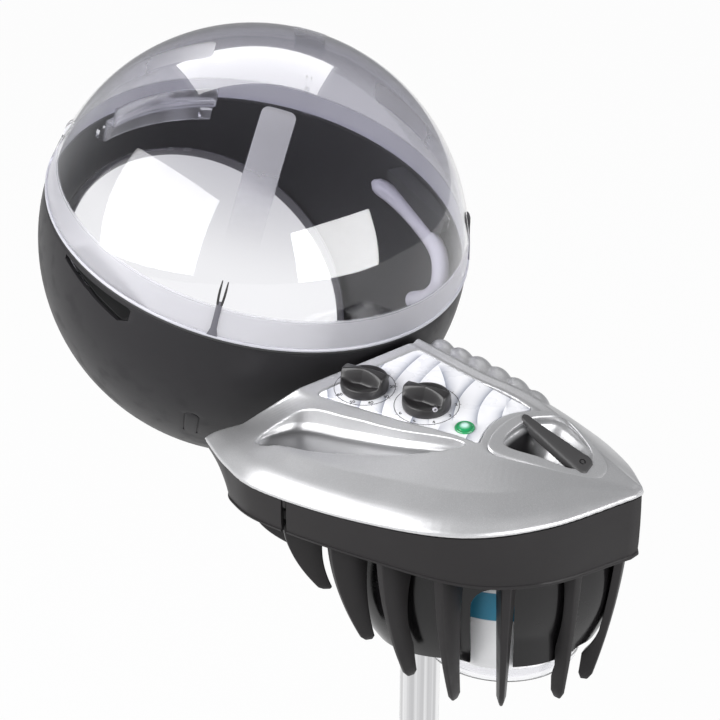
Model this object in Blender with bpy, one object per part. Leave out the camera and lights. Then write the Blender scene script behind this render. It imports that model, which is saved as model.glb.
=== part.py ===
"""Salon hair steamer head on its mast: clear-domed hood, moulded body, water jar.

All sizes are millimetres and become metres in one place, world_mesh().
Frame: origin at the mast's foot, +Z up, +Y from the body to the hood.
"""
import bpy
import bmesh
from math import acos, atan2, cos, pi, radians, sin, sqrt
from mathutils import Matrix, Quaternion, Vector

MM = 0.001

# Fits
SEAT = 0.3
ROUND_SEAT = 1.1
RUNNING = 0.5

# Mast and swivel
MAST_RADIUS = 18.0
MAST_WALL = 2.0
PLUG_FLANGE = 6.0
PLUG_SPIGOT = 24.0
MAST_ENGAGE = 66.0
SOCKET_DROP = 44.0
BUSH_WALL = 2.6
SOCKET_WALL = 4.4
SOCKET_ROOF = 4.0
MAST_SIDES = 24

# Body: the silver cover's lower edge plane, and its plan from hood to nose
EDGE_Z = 335.0
NEAR_EDGE = ((-160, 93), (-176, 42), (-181, -9), (-157, -90), (-114, -162), (-52, -195), (34, -206))
FAR_EDGE = ((95, 70), (103, 42), (104, 8), (100, -50), (88, -115), (70, -165), (50, -198))
NOSE_POINT = (44, -205)
HOOD_EDGE_DIP = ((-100, 43), (8, 30), (26, 30))
COVER_WALL = 3.0
COVER_LIP = 3.0
CREASE_INSET = 31.0
CREASE_MOST = 0.6
FLANK_BULGE = (0.3, 0.52)
FAR_SHOULDER = (0.5, 0.58)
CREST_FADE_FROM = 0.65
CREST_NOSE_OFFSET = 3.0
CREASE_RISE = (15.0, 25.0, 26.0, 25.0, 19.0, 6.0)
TOP_NEAR = ((-101, 44, 46.5), (-75, -40, 39.3), (-49, -113, 33.6), (36, -199, 6))
TOP_FAR = ((8, 30, 61.6), (13, -40, 53.1), (21, -103, 46), (41, -198, 7))
CREST_OFFSET = 16.0
CREST_RISE = 2.0
GROOVE_DEPTH = 2.5
STATIONS = 13
CUT_CLEAR = 25.0
BORE_EASE = 1.0
NECK_WINDOW_TOP = 47.0
NECK_WINDOW_EASE = 2.0

# Control panel
PANEL_SLOPE_X = 0.157
PANEL_SLOPE_Y = 0.133
PANEL_DATUM = 56.4
PANEL_CORNERS = ((-95, 27), (-42, -109), (19, -106), (7, 18))
PANEL_END_BULGE = 10.0
PANEL_ARC_STEPS = 6
PANEL_THICK = 2.0
TIMER_AT = (-59.5, 6.7)
STEAM_AT = (-38.8, -45.4)
LAMP_AT = (-37.0, -88.0)
KNOB_RADIUS = 20.0
KNOB_BASE = 7.0
KNOB_SKIRT = 2.5
KNOB_TAPER = 5.0
KNOB_SIDES = 20
KNOB_GRIP = (38.0, 15.0, 13.5)
KNOB_WAIST = 0.5
KNOB_SWEEP = 3.5
KNOB_CROWN = 3.0
TIMER_REST_TURN = -84.0
STEAM_REST_TURN = -84.0
SHAFT_RADIUS = 3.0
TIMER_UNIT = (36.0, 22.0)
REGULATOR_UNIT = (28.0, 16.0)
LAMP_RADIUS = 8.0
LAMP_FLANGE = 2.0
LAMP_EDGE = 1.4
LAMP_RISE = 3.5
LAMP_SOCKET = 15.0

# Ridge ribs
RIB_COUNT = 6
RIB_FIRST_Y = 15.0
RIB_PITCH = 21.0
RIB_HALF = (20.0, 12.0, 8.0)
RIB_PAST_CREST = ((10.0, -11.0), (10.0, -8.5), (6.0, -13.0))
RIB_LEAN = 24.0

# Tray and handle recesses
TRAY_FAR = ((-155, 28), (-112, 28), (-92, -13), (-74, -56), (-51, -103))
TRAY_NEAR = ((-92, -83), (-131, -38), (-147, -7))
TRAY_FLOOR_Z = 21.5
TRAY_FLOOR_SLOPE = -0.055
TRAY_MID = (5.0, 0.4)
TRAY_LEAN = 6.0
TRAY_STEPS = 4
NOSE_SLOPE_Y = 0.543
NOSE_DATUM_AT = (2.4, -113.0, 44.0)
BEZEL_OUTLINE = ((-42, -120), (-10, -109), (25, -120), (36, -148), (33, -176), (12, -179), (-16, -152))
HOLE_OUTLINE = ((-28, -123), (-1, -117), (18, -122), (31, -133), (29, -163), (8, -165), (-10, -145))
BEZEL_THICK = 3.0
BEZEL_SINK = 0.4
BEZEL_TAPER = 1.2
HOLE_FLOOR_Z = 7.0
HOLE_FAR_LEAN = 22.0
HOLE_LEAN_FROM_X = -8.0
HOLE_LEAN_OVER = 40.0
GRIP_FROM = (2.0, -116.0)
GRIP_TO = (17.5, -170.5)
GRIP_WIDTHS = (7.0, 18.0)
GRIP_PROUD = 1.5
GRIP_KEEL = 5.0
GRIP_KEEL_INSET = 0.5
GRIP_ROUND = 1.2
GRIP_FORM = ((-0.03, 0.7), (0.0, 1.0), (0.85, 1.0), (0.96, 0.9), (1.02, 0.55))

# Lower casing: band, floor and claws
BAND_INSET = 1.5
BAND_WALL = 3.0
BAND_GAP = 0.5
BAND_DEPTH = 28.0
BAND_NOSE_EXTRA = 27.0
BAND_DEEPENS_FROM_Y = 2.0
BAND_DEEPENS_OVER = 209.0
BAND_DEEPENS_POWER = 3
BAND_TUCK = 22.0
TUCK_FROM_Y = 34.0
TUCK_OVER = 60.0
TUCK_NARROWS = 0.12
SLOT_Y = -33.0
SLOT_WIDTH = 5.0
FLOOR_Z = -26.0
FLOOR_THICK = 4.0
CLAW_BEARINGS = (147.6, 155.9, 167.7, 182.1, 201.2, 226.1, 263.8, 292.4, 375.0, 393.0, 411.0)
CLAW_DEPTH = 180.0
CLAW_FALL = 120.0
CLAW_ROOT = (34.0, 18.0)
CLAW_TIP = (10.0, 9.0)
CLAW_CURL = 30.0
CLAW_EDGE_SHARE = 0.45
CLAW_LEVELS = 5
CLAW_CURL_POWER = 1.8
CLAW_SIDE_TURN = 0.13
CLAW_ROOT_SINK = 1.5
CLAW_PAST_SHROUD = 12.0
CLAW_SHROUD_GAP = 1.5
CLAW_SETBACK = 4.5

# Water jar, boiler head and shroud
JAR_RADIUS = 66.0
JAR_FROM_MAST = 34.0
JAR_AT = (0.0, -JAR_RADIUS - JAR_FROM_MAST)
JAR_WALL = 3.0
JAR_BOTTOM = -167.0
JAR_TOP = -13.0
JAR_CLEARANCE = 2.5
JAR_SIDES = 32
JAR_ROUND = 5.0
PLUG_BORE = 20.0
PLUG_SINK = 2.0
PLUG_CROWN = (14.0, 4.0)
HEAD_BORE_EASE = 1.0
HEAD_ROUND = 2.0
HEAD_WALL = 5.5
HEAD_ROOF = 6.0
GASKET = (3.6, 3.4)
SHROUD_BOTTOM = -144.0
SHROUD_WALL = 3.0
SHROUD_ROOM = 12.0
SHROUD_FLARES = ((150.0, 52.0, 4), (305.0, 18.0, 8))
SHROUD_BELLY = -78.0
SHROUD_SPAN = 107.0
SHROUD_FOOT_ROOM = 6.5
SHROUD_LEVELS = 6
SHROUD_MAST_ROOM = 2.0
WINDOW_TURN = 221.0
WINDOW_WIDTH = 34.0
WINDOW_TOP = -52.0
HEATER_RADIUS = 4.0
HEATER_LOOP = 24.0
HEATER_REACH = 112.0
PROBE_RADIUS = 2.0
PROBES = ((-12.0, 70.0), (12.0, 95.0))

# Hood
HOOD_RADIUS = 195.0
HOOD_LEAN = 20.6
SHELL_WALL = 3.5
DOME_WALL = 3.0
RIM_LEVEL = 30.0
SEAL_THICK = 2.4
SEAL_WIDTH = 4.5
OPENING_LEAN = 28.4
OPENING_LEVEL = -119.0
HOOD_SIDES = 44
SHELL_LEVELS = 10
DOME_LEVELS = 8
DOME_CROWN = 3.0
SEAL_PROUD = 0.3
CLIP_TURNS = (48.0, 132.0, 228.0, 312.0)
CLIP_FOOT_LEVEL = 16.0
CLIP_TOP_LEVEL = 79.0
CLIP_WIDTH = 7.0
CLIP_THICK = 2.2
CLIP_BUMP = 4.0
CLIP_FORM = ((0, 0), (0.3, 0), (0.6, 0.1), (0.72, 0.8), (0.86, 1), (1, 0.1))
HOLD_TOP_LEVEL = 25.0
HOLD_FRONT_Y = 16.0
HOLD_DEEP_Y = -58.0
HOLD_BACK_Y = -68.0
HOLD_DEPTH = 17.5
HOLD_REACH = 22.0
HOLD_WALL = 2.0
HOLD_FRONT_HEIGHT = 4.0
HOLD_BACK_RISE = 6.0
STEAM_BAR_RADIUS = 9.0
STEAM_BAR_SIDES = 10
STEAM_BAR_ROUTE = ((103, -5), (92, -5), (78, -5.5), (64, -4), (55, -17), (57, -40), (64, -62))
GUTTER_RISE = 7.0
GUTTER_WIDTH = 8.0
GUTTER_HEIGHT = 12.0
GUTTER_WALL = 2.0
DEFLECTOR_HALF_TURN = 20.0
DEFLECTOR_LEVELS = (12.0, 32.0, 52.0)
DEFLECTOR_INSET = 17.0
DEFLECTOR_STEP = 8.0
DEFLECTOR_WALL = 2.5
BRACKET_TURN = 3.0
BRACKET_HEIGHT = 9.0

# Tilt hinge between the body's yoke and the hood's neck
HINGE_AT = (0.0, 29.97, 370.595)
HINGE_STANDOFF = 18.0
HINGE_DROP = 3.0
PIN_RADIUS = 4.0
BARREL_RADIUS = 9.0
HOOD_LUG_X = (21.0, 28.0)
YOKE_LUG_X = (28.6, 35.0)
CHEEK_FOOT_Y = (-20.0, 14.0)
CHEEK_BACK_RISE = 24.0
CHEEK_ARC = (-35.0, 170.0)
CHEEK_WEB = (20.0, 12.0, 10.0)
SCREW_RISE = 12.0
SCREW_SHANK = (3.0, 6.0)
SCREW_HEAD = (9.0, 8.0)
NECK_PAD = (58.0, 38.0, 6.0)
NECK_PAD_DROP = 13.0
INLET_DROP = 12.0
INLET_RADIUS = 16.0
INLET_WALL = 1.5
INLET_DEPTH = 22.0
DUCT_RADIUS = 8.0
DUCT_WALL = 2.0
DUCT_PAST_HINGE = 16.0
DUCT_LEVEL = 18.0
DUCT_SIDES = 10
DUCT_STEPS = 9
DUCT_FROM_AXIS = 42.0
DUCT_RISE = 6.0
DUCT_BEND = 18.0
NECK_SADDLE = 12.0
LUG_FOOT = (8.0, 4.0)

# Control board over the floor
BOARD_LOW = (-150.0, -50.0)
BOARD_SIZE = (58.0, 80.0, 1.6)
BOARD_SPACER = (4.0, 8.0)
SPACER_INSET = 6.0
RELAY = ((14.0, 14.0), (22.0, 16.0, 10.0))
TERMINALS = ((38.0, 50.0), (18.0, 28.0, 12.0))
CAPACITOR = ((12.0, 62.0), (12.0, 12.0, 9.0))


def clear_scene():
    for item in list(bpy.data.objects):
        bpy.data.objects.remove(item, do_unlink=True)


def material(name, colour, roughness, metallic=0.0):
    made = bpy.data.materials.get(name)
    if made is None:
        made = bpy.data.materials.new(name)
        made.use_nodes = True
        shader = made.node_tree.nodes["Principled BSDF"]
        shader.inputs["Base Color"].default_value = (*colour, 1.0)
        shader.inputs["Roughness"].default_value = roughness
        shader.inputs["Metallic"].default_value = metallic
    return made


def silver():
    return material("satin_silver", (0.55, 0.55, 0.57), 0.35, 0.6)


def black():
    return material("dark_casing", (0.03, 0.03, 0.032), 0.55)


def clear():
    return material("clear_plastic", (0.82, 0.82, 0.88), 0.05)


def grey():
    return material("grey_moulding", (0.5, 0.5, 0.52), 0.4)


def steel():
    return material("bright_steel", (0.75, 0.75, 0.77), 0.15, 1.0)


def rubber():
    return material("black_rubber", (0.02, 0.02, 0.02), 0.8)


def world_mesh(name, bm, look):
    """Close a bmesh made in millimetres into a named object in metres."""
    bmesh.ops.recalc_face_normals(bm, faces=bm.faces)
    bmesh.ops.scale(bm, vec=(MM, MM, MM), verts=bm.verts)
    mesh = bpy.data.meshes.new(name)
    bm.to_mesh(mesh)
    bm.free()
    mesh.shade_smooth()
    mesh.set_sharp_from_angle(angle=radians(35))
    made = bpy.data.objects.new(name, mesh)
    bpy.context.scene.collection.objects.link(made)
    mesh.materials.append(look)
    return made


def add_loft(bm, rings, loop=False):
    """Skin successive closed rings of points; cap the ends unless they loop."""
    rows = [[bm.verts.new(point) for point in ring] for ring in rings]
    count = len(rows[0])
    pairs = list(zip(rows, rows[1:]))
    if loop:
        pairs.append((rows[-1], rows[0]))
    for low, high in pairs:
        for k in range(count):
            n = (k + 1) % count
            bm.faces.new((low[k], low[n], high[n], high[k]))
    if not loop:
        bm.faces.new(list(reversed(rows[0])))
        bm.faces.new(rows[-1])


def loft(name, rings, look, loop=False):
    bm = bmesh.new()
    add_loft(bm, rings, loop)
    return world_mesh(name, bm, look)


def lofts(name, groups, look):
    """A set of like pieces, numbered from one."""
    for number, rings in enumerate(groups, 1):
        loft(f"{name}_{number}", rings, look)


def circle(frame, radius, level, sides):
    turn = 2 * pi / sides
    return [frame @ Vector((radius * cos(turn * k), radius * sin(turn * k), level)) for k in range(sides)]


def turned(frame, profile, sides):
    """Rings of a turned solid whose profile holds (radius, level) pairs."""
    return [circle(frame, radius, level, sides) for radius, level in profile]


def at(x, y, z):
    return Matrix.Translation((x, y, z))


def block(low, high):
    """Two rings of a box between opposite corners."""
    corners = ((low[0], low[1]), (high[0], low[1]), (high[0], high[1]), (low[0], high[1]))
    return [[Vector((x, y, z)) for x, y in corners] for z in (low[2], high[2])]


def combine(target, tool, operation):
    """Boolean one object into another and drop the tool."""
    change = target.modifiers.new(operation.lower(), 'BOOLEAN')
    change.operation = operation
    change.object = tool
    change.solver = 'EXACT'
    bpy.context.view_layer.update()
    graph = bpy.context.evaluated_depsgraph_get()
    mesh = bpy.data.meshes.new_from_object(target.evaluated_get(graph))
    target.modifiers.clear()
    target.data = mesh
    bpy.data.objects.remove(tool, do_unlink=True)


def cut(target, tool):
    combine(target, tool, 'DIFFERENCE')


def join(target, tool):
    combine(target, tool, 'UNION')


def spline(points, share):
    """Point at a share of the way along a smooth curve through the points."""
    spot = share * (len(points) - 1)
    k = min(int(spot), len(points) - 2)
    t = spot - k
    p1 = Vector(points[k])
    p2 = Vector(points[k + 1])
    p0 = Vector(points[k - 1]) if k > 0 else 2 * p1 - p2
    p3 = Vector(points[k + 2]) if k + 2 < len(points) else 2 * p2 - p1
    return 0.5 * (2 * p1 + (p2 - p0) * t + (2 * p0 - 5 * p1 + 4 * p2 - p3) * t ** 2
                  + (3 * p1 - p0 - 3 * p2 + p3) * t ** 3)


def spline_points(points, steps):
    return [spline(points, k / steps) for k in range(steps + 1)]


def closed_spline(points, per_span):
    """Smooth closed curve through the points."""
    count = len(points)
    found = []
    for k in range(count):
        around = [Vector(points[(k + step) % count]) for step in (-1, 0, 1, 2)]
        for part in range(per_span):
            t = part / per_span
            p0, p1, p2, p3 = around
            found.append(0.5 * (2 * p1 + (p2 - p0) * t + (2 * p0 - 5 * p1 + 4 * p2 - p3) * t ** 2
                                + (3 * p1 - p0 - 3 * p2 + p3) * t ** 3))
    return found


def inset_loop(points, distance):
    """Move each point of a closed plan outline inward by a distance."""
    area = sum(a.x * b.y - b.x * a.y for a, b in zip(points, points[1:] + points[:1]))
    side = 1.0 if area > 0 else -1.0
    moved = []
    count = len(points)
    for k in range(count):
        before = (points[k] - points[k - 1]).normalized()
        after = (points[(k + 1) % count] - points[k]).normalized()
        first = Vector((-before.y, before.x)) * side
        second = Vector((-after.y, after.x)) * side
        middle = (first + second).normalized()
        moved.append(points[k] + middle * (distance / max(middle.dot(first), 0.5)))
    return moved


def smooth_step(value):
    t = min(max(value, 0.0), 1.0)
    return t * t * (3 - 2 * t)


def sweep(path, radius, sides):
    """Round rings along a path, carried without twist."""
    path = [Vector(point) for point in path]
    rings = []
    tangent = (path[1] - path[0]).normalized()
    across = tangent.orthogonal().normalized()
    for k, point in enumerate(path):
        ahead = path[min(k + 1, len(path) - 1)]
        behind = path[max(k - 1, 0)]
        heading = (ahead - behind).normalized()
        across = (tangent.rotation_difference(heading) @ across).normalized()
        tangent = heading
        turns = [Quaternion(tangent, 2 * pi * s / sides) for s in range(sides)]
        rings.append([point + turn @ (across * radius) for turn in turns])
    return rings


def hood_frame():
    """Hood axes: local +Z along the dome's axis, local -Y toward the body."""
    reach = Matrix.Translation((0, HOOD_RADIUS + HINGE_STANDOFF, 0))
    return hinge_frame() @ reach @ Matrix.Rotation(radians(HINGE_DROP), 4, 'X')


def hood_point(turn, level, radius):
    """Point on a sphere round the hood's centre, turned from the body's side to +X."""
    across = sqrt(radius ** 2 - level ** 2)
    return hood_frame() @ Vector((across * sin(radians(turn)), -across * cos(radians(turn)), level))


def hinge_frame():
    """On the tilt axis, local +X along it and local +Y into the hood."""
    return Matrix.Translation(HINGE_AT) @ Matrix.Rotation(radians(HOOD_LEAN - HINGE_DROP), 4, 'X')


def panel_height(x, y):
    return EDGE_Z + PANEL_DATUM + PANEL_SLOPE_X * x + PANEL_SLOPE_Y * y


def panel_frame(spot):
    normal = Vector((-PANEL_SLOPE_X, -PANEL_SLOPE_Y, 1)).normalized()
    place = Matrix.Translation((spot[0], spot[1], panel_height(*spot)))
    return place @ Vector((0, 0, 1)).rotation_difference(normal).to_matrix().to_4x4()


def nose_height(x, y):
    x0, y0, z0 = NOSE_DATUM_AT
    return EDGE_Z + z0 + PANEL_SLOPE_X * (x - x0) + NOSE_SLOPE_Y * (y - y0)


def on_nose(points, lift):
    return [Vector((p[0], p[1], nose_height(p[0], p[1]) + lift)) for p in points]


def cover_section(share, wall):
    """One cross-section of the cover from near edge to far edge, thinned by a wall."""
    near = spline(NEAR_EDGE, share)
    far = spline(FAR_EDGE, share)
    top_near = spline(TOP_NEAR, share)
    top_far = spline(TOP_FAR, share)
    rise = spline([(value, 0) for value in CREASE_RISE], share).x
    inward = (top_near.to_2d() - near).normalized()
    reach = min(CREASE_INSET, CREASE_MOST * (top_near.to_2d() - near).length)
    crease = near + inward * reach
    fade = 1 - smooth_step((share - CREST_FADE_FROM) / (1 - CREST_FADE_FROM))
    crest = top_far + Vector((CREST_OFFSET * fade + CREST_NOSE_OFFSET * (1 - fade), 0, CREST_RISE * fade))
    groove = top_far.lerp(crest, 0.5) - Vector((0, 0, GROOVE_DEPTH * fade))
    out = (far - crest.to_2d()).normalized()
    near_in = near + inward * wall
    far_in = far - out * wall
    bulge = near_in.lerp(crease, FLANK_BULGE[0])
    shoulder = far_in.lerp(crest.to_2d(), FAR_SHOULDER[0])
    drop = wall * 1.1
    foot = 0.0 if wall == 0 else -1.0
    bulge_rise = FLANK_BULGE[1] * rise - drop * 0.5 + COVER_LIP * 0.3
    flat = [(near_in, foot), (near_in, COVER_LIP), (bulge, bulge_rise), (crease, rise - drop)]
    flat += [(p.to_2d(), p.z - drop) for p in (top_near, top_far, groove, crest)]
    flat += [(shoulder, FAR_SHOULDER[1] * crest.z - drop * 0.8), (far_in, COVER_LIP), (far_in, foot)]
    return [Vector((p.x, p.y, EDGE_Z + z)) for p, z in flat]


def cover_solid(name, wall):
    """Closed solid under the cover's outer skin, or under its inner skin when thinned."""
    bm = bmesh.new()
    rows = []
    for k in range(STATIONS + 1):
        share = k / STATIONS
        ends = smooth_step(1 - share * STATIONS) - smooth_step(share * STATIONS - STATIONS + 1)
        shift = Vector((0, -wall * 1.2 * ends, 0))
        rows.append([bm.verts.new(point + shift) for point in cover_section(share, wall)])
    for low, high in zip(rows, rows[1:]):
        for k in range(len(low) - 1):
            bm.faces.new((low[k], low[k + 1], high[k + 1], high[k]))
    head = rows[0]
    foot = head[0].co.z
    feet = [bm.verts.new((v.co.x, v.co.y, foot)) for v in head[2:-2]]
    wall_feet = [head[0]] + feet + [head[-1]]
    wall_tops = head[1:-1]
    for k in range(len(wall_tops) - 1):
        bm.faces.new((wall_tops[k], wall_tops[k + 1], wall_feet[k + 1], wall_feet[k]))
    bm.faces.new(rows[-1])
    bm.faces.new([row[0] for row in rows] + [row[-1] for row in reversed(rows)] + list(reversed(feet)))
    bmesh.ops.triangulate(bm, faces=bm.faces)
    return world_mesh(name, bm, silver())


def prism(name, low, high):
    return loft(name, [low, high], silver())


def tray_cutter(grow):
    """Crescent shelf with a leaning far wall, grown for the wall left around it."""
    rim = inset_loop(closed_spline(TRAY_FAR + TRAY_NEAR, TRAY_STEPS), -grow)
    far_count = TRAY_STEPS * (len(TRAY_FAR) - 1)
    tips = Vector(TRAY_FAR[-1]) - Vector(TRAY_FAR[0])
    toward_near = Vector((tips.y, -tips.x)).normalized()
    floor = [TRAY_FLOOR_Z + TRAY_FLOOR_SLOPE * p.y for p in rim]
    mid_rise, mid_lean = TRAY_MID
    above = TOP_FAR[0][2] + CUT_CLEAR
    low = [z - grow for z in floor]
    middle = [z + mid_rise for z in floor]
    high = [above] * len(rim)
    rings = []
    for lean, heights in ((1.0, low), (mid_lean, middle), (0.0, high)):
        ring = []
        for k, (p, height) in enumerate(zip(rim, heights)):
            far_side = sin(pi * min(k, far_count) / far_count)
            spot = p.to_2d() + toward_near * TRAY_LEAN * far_side * lean
            ring.append(Vector((spot.x, spot.y, EDGE_Z + height)))
        rings.append(ring)
    return loft("tray_tool", rings, silver())


def hole_cutter(grow):
    """Handle hole: steep near wall, leaning far facets."""
    rim = inset_loop(closed_spline(HOLE_OUTLINE, 2), -grow)
    floor = []
    for p in rim:
        lean = HOLE_FAR_LEAN * smooth_step((p.x - HOLE_LEAN_FROM_X) / HOLE_LEAN_OVER)
        floor.append(Vector((p.x - lean, p.y, EDGE_Z + HOLE_FLOOR_Z - grow)))
    return loft("hole_tool", [floor, on_nose(rim, 0), on_nose(rim, CUT_CLEAR)], silver())


def panel_outline(shrink):
    """Panel plan: straight sides and a bulged end that follows the handle's bezel."""
    a, b, c, d = (Vector(corner) for corner in PANEL_CORNERS)
    across = c - b
    out = Vector((across.y, -across.x)).normalized()
    arc = []
    for k in range(PANEL_ARC_STEPS + 1):
        share = k / PANEL_ARC_STEPS
        arc.append(b + across * share - out * PANEL_END_BULGE * sin(pi * share))
    return inset_loop([a] + arc + [d], shrink)


def on_panel(points, lift):
    normal = Vector((-PANEL_SLOPE_X, -PANEL_SLOPE_Y, 1)).normalized()
    return [Vector((p.x, p.y, panel_height(p.x, p.y))) + normal * lift for p in points]


def panel_pocket(grow):
    rim = panel_outline(-grow)
    return prism("pocket_tool", on_panel(rim, -PANEL_THICK - SEAT - grow), on_panel(rim, CUT_CLEAR))


def ridge_rib(number):
    """One of the rounded ribs lying across the far ridge."""
    share = rib_share(RIB_FIRST_Y - RIB_PITCH * number)
    past, rise = spline(RIB_PAST_CREST, number / (RIB_COUNT - 1))
    crest = spline(TOP_FAR, share) + Vector((CREST_OFFSET + past, 0, rise))
    size = Matrix.Diagonal((*RIB_HALF, 1))
    lean = Matrix.Rotation(radians(RIB_LEAN), 4, 'Y')
    place = at(crest.x, crest.y, EDGE_Z + crest.z)
    bm = bmesh.new()
    bmesh.ops.create_uvsphere(bm, u_segments=10, v_segments=6, radius=1, matrix=place @ lean @ size)
    return world_mesh("rib_tool", bm, silver())


def rib_share(y):
    """Share along the far top line at which it reaches a given y."""
    low, high = 0.0, 1.0
    for _ in range(30):
        middle = (low + high) / 2
        if spline(TOP_FAR, middle).y > y:
            low = middle
        else:
            high = middle
    return low


def control_bores(target):
    """Holes for both knob shafts and the pilot lamp's neck."""
    lamp_neck = LAMP_RADIUS - LAMP_FLANGE
    for spot, radius in ((TIMER_AT, SHAFT_RADIUS), (STEAM_AT, SHAFT_RADIUS), (LAMP_AT, lamp_neck)):
        wall = radius + BORE_EASE
        bore = turned(panel_frame(spot), ((wall, -CUT_CLEAR), (wall, CUT_CLEAR)), 16)
        cut(target, loft("bore_tool", bore, silver()))


def top_cover():
    """Silver moulded cover: lofted skin, pockets with their own walls, ribs, neck window."""
    cover = cover_solid("top_cover", 0)
    for number in range(RIB_COUNT):
        join(cover, ridge_rib(number))
    hollow = cover_solid("hollow_tool", COVER_WALL)
    for tool in (tray_cutter(COVER_WALL), hole_cutter(COVER_WALL), panel_pocket(COVER_WALL)):
        cut(hollow, tool)
    for tool in (tray_cutter(0), hole_cutter(0), panel_pocket(0)):
        cut(cover, tool)
    cut(cover, hollow)
    control_bores(cover)
    seat = on_nose(inset_loop(closed_spline(BEZEL_OUTLINE, 3), -SEAT), -BEZEL_SINK)
    cut(cover, prism("bezel_tool", seat, [p + Vector((0, 0, CUT_CLEAR)) for p in seat]))
    half = YOKE_LUG_X[1] + NECK_WINDOW_EASE
    low = hinge_frame() @ Vector((-half, -HINGE_STANDOFF, -INLET_DROP - DUCT_RADIUS - 2 * NECK_WINDOW_EASE))
    high = hinge_frame() @ Vector((half, CUT_CLEAR, BARREL_RADIUS + NECK_WINDOW_EASE))
    window = block((low.x, low.y, low.z), (high.x, high.y, min(high.z, EDGE_Z + NECK_WINDOW_TOP)))
    cut(cover, loft("neck_tool", window, silver()))
    return cover


def control_panel():
    rim = panel_outline(SEAT)
    plate = loft("control_panel", [on_panel(rim, -PANEL_THICK), on_panel(rim, 0)], grey())
    control_bores(plate)
    return plate


def knob(name, spot, turn):
    """Round skirted knob with a raised grip of two swept lobes, and its shaft."""
    frame = panel_frame(spot) @ Matrix.Rotation(radians(turn), 4, 'Z')
    low = SEAT
    base = low + KNOB_BASE
    shaft_end = -PANEL_THICK - SEAT - COVER_WALL
    profile = ((SHAFT_RADIUS, shaft_end), (SHAFT_RADIUS, low), (KNOB_RADIUS, low),
               (KNOB_RADIUS, low + KNOB_SKIRT), (KNOB_RADIUS - 0.4 * KNOB_TAPER, base - 1),
               (KNOB_RADIUS - KNOB_TAPER, base))
    made = loft(name, turned(frame, profile, KNOB_SIDES), black())
    length, width, height = KNOB_GRIP
    outline = []
    for k in range(KNOB_SIDES):
        a = 2 * pi * k / KNOB_SIDES
        waist = 1 - KNOB_WAIST * sin(a) ** 2
        outline.append(Vector((length / 2 * cos(a), width / 2 * sin(a) * waist + KNOB_SWEEP * cos(a))))
    rings = []
    for level, share in ((base - 2, 1.0), (base + height - KNOB_CROWN, 0.96), (base + height, 0.86)):
        rings.append([frame @ Vector((p.x * share, p.y * share, level)) for p in outline])
    join(made, loft("grip_tool", rings, black()))
    return made


def under_panel(name, spot, size, look):
    """Box hung under the cover wall below a control, square to the panel."""
    frame = panel_frame(spot)
    half = size[0] / 2
    height = size[1]
    top = -PANEL_THICK - SEAT - COVER_WALL - SEAT
    corners = ((-half, -half), (half, -half), (half, half), (-half, half))
    rings = [[frame @ Vector((x, y, level)) for x, y in corners] for level in (top - height, top)]
    return loft(name, rings, look)


def pilot_lamp():
    frame = panel_frame(LAMP_AT)
    neck = LAMP_RADIUS - LAMP_FLANGE
    profile = ((neck, -PANEL_THICK), (neck, SEAT), (LAMP_RADIUS, SEAT), (LAMP_RADIUS, LAMP_EDGE),
               (LAMP_RADIUS * 0.8, LAMP_RISE * 0.8), (LAMP_RADIUS * 0.35, LAMP_RISE))
    green = material("green_lens", (0.03, 0.45, 0.16), 0.2)
    lens = loft("pilot_lens", turned(frame, profile, KNOB_SIDES), green)
    top = -PANEL_THICK - SEAT
    loft("lamp_socket", turned(frame, ((neck, top - LAMP_SOCKET), (neck, top)), KNOB_SIDES), black())
    return lens


def handle_bezel():
    """Flat D-shaped rim round the handle hole, notched for the ends of the grip."""
    rim = closed_spline(BEZEL_OUTLINE, 3)
    hole = inset_loop(closed_spline(HOLE_OUTLINE, 2), -SEAT)
    bezel = prism("handle_bezel", on_nose(rim, 0), on_nose(inset_loop(rim, BEZEL_TAPER), BEZEL_THICK))
    cut(bezel, prism("hole_tool", on_nose(hole, -CUT_CLEAR), on_nose(hole, CUT_CLEAR)))
    cut(bezel, loft("notch_tool", grip_rings(SEAT, ((0, -CUT_CLEAR), (0, CUT_CLEAR))), silver()))
    return bezel


def grip_rings(grow, side):
    """Cross-sections along the grip; side gives the inset and the height of each edge, bottom to top."""
    start = Vector(GRIP_FROM)
    end = Vector(GRIP_TO)
    along = (end - start).normalized()
    across = Vector((-along.y, along.x))
    rings = []
    for share, scale in GRIP_FORM:
        centre = start.lerp(end, share) + along * (grow if share > 0.5 else -grow)
        half = (GRIP_WIDTHS[0] + (GRIP_WIDTHS[1] - GRIP_WIDTHS[0]) * share) / 2 * scale + grow
        right = [(half - inset, rise) for inset, rise in side]
        left = [(inset - half, rise) for inset, rise in reversed(side)]
        ring = []
        for offset, rise in right + left:
            spot = centre + across * offset
            ring.append(Vector((spot.x, spot.y, nose_height(spot.x, spot.y) + rise)))
        rings.append(ring)
    return rings


def grip_bar():
    """Tapered bar let into the bezel, with a keel that fills it out inside the hole."""
    top = BEZEL_THICK + GRIP_PROUD
    bar = loft("grip_bar", grip_rings(0, ((0, SEAT), (0, top - GRIP_ROUND), (GRIP_ROUND, top))), black())
    keel = loft("keel_tool", grip_rings(-GRIP_KEEL_INSET, ((0, -GRIP_KEEL), (0, BEZEL_THICK))), black())
    combine(keel, hole_cutter(-SEAT), 'INTERSECT')
    join(bar, keel)
    return bar


def body_loop():
    """Closed plan of the cover's lower edge: near side, nose, far side, hood side."""
    near = spline_points(NEAR_EDGE, 24)
    far = spline_points(FAR_EDGE, 18)
    back = spline_points((FAR_EDGE[0],) + tuple(reversed(HOOD_EDGE_DIP)) + (NEAR_EDGE[0],), 16)
    return near + [Vector(NOSE_POINT)] + list(reversed(far)) + back[1:-1]


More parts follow.
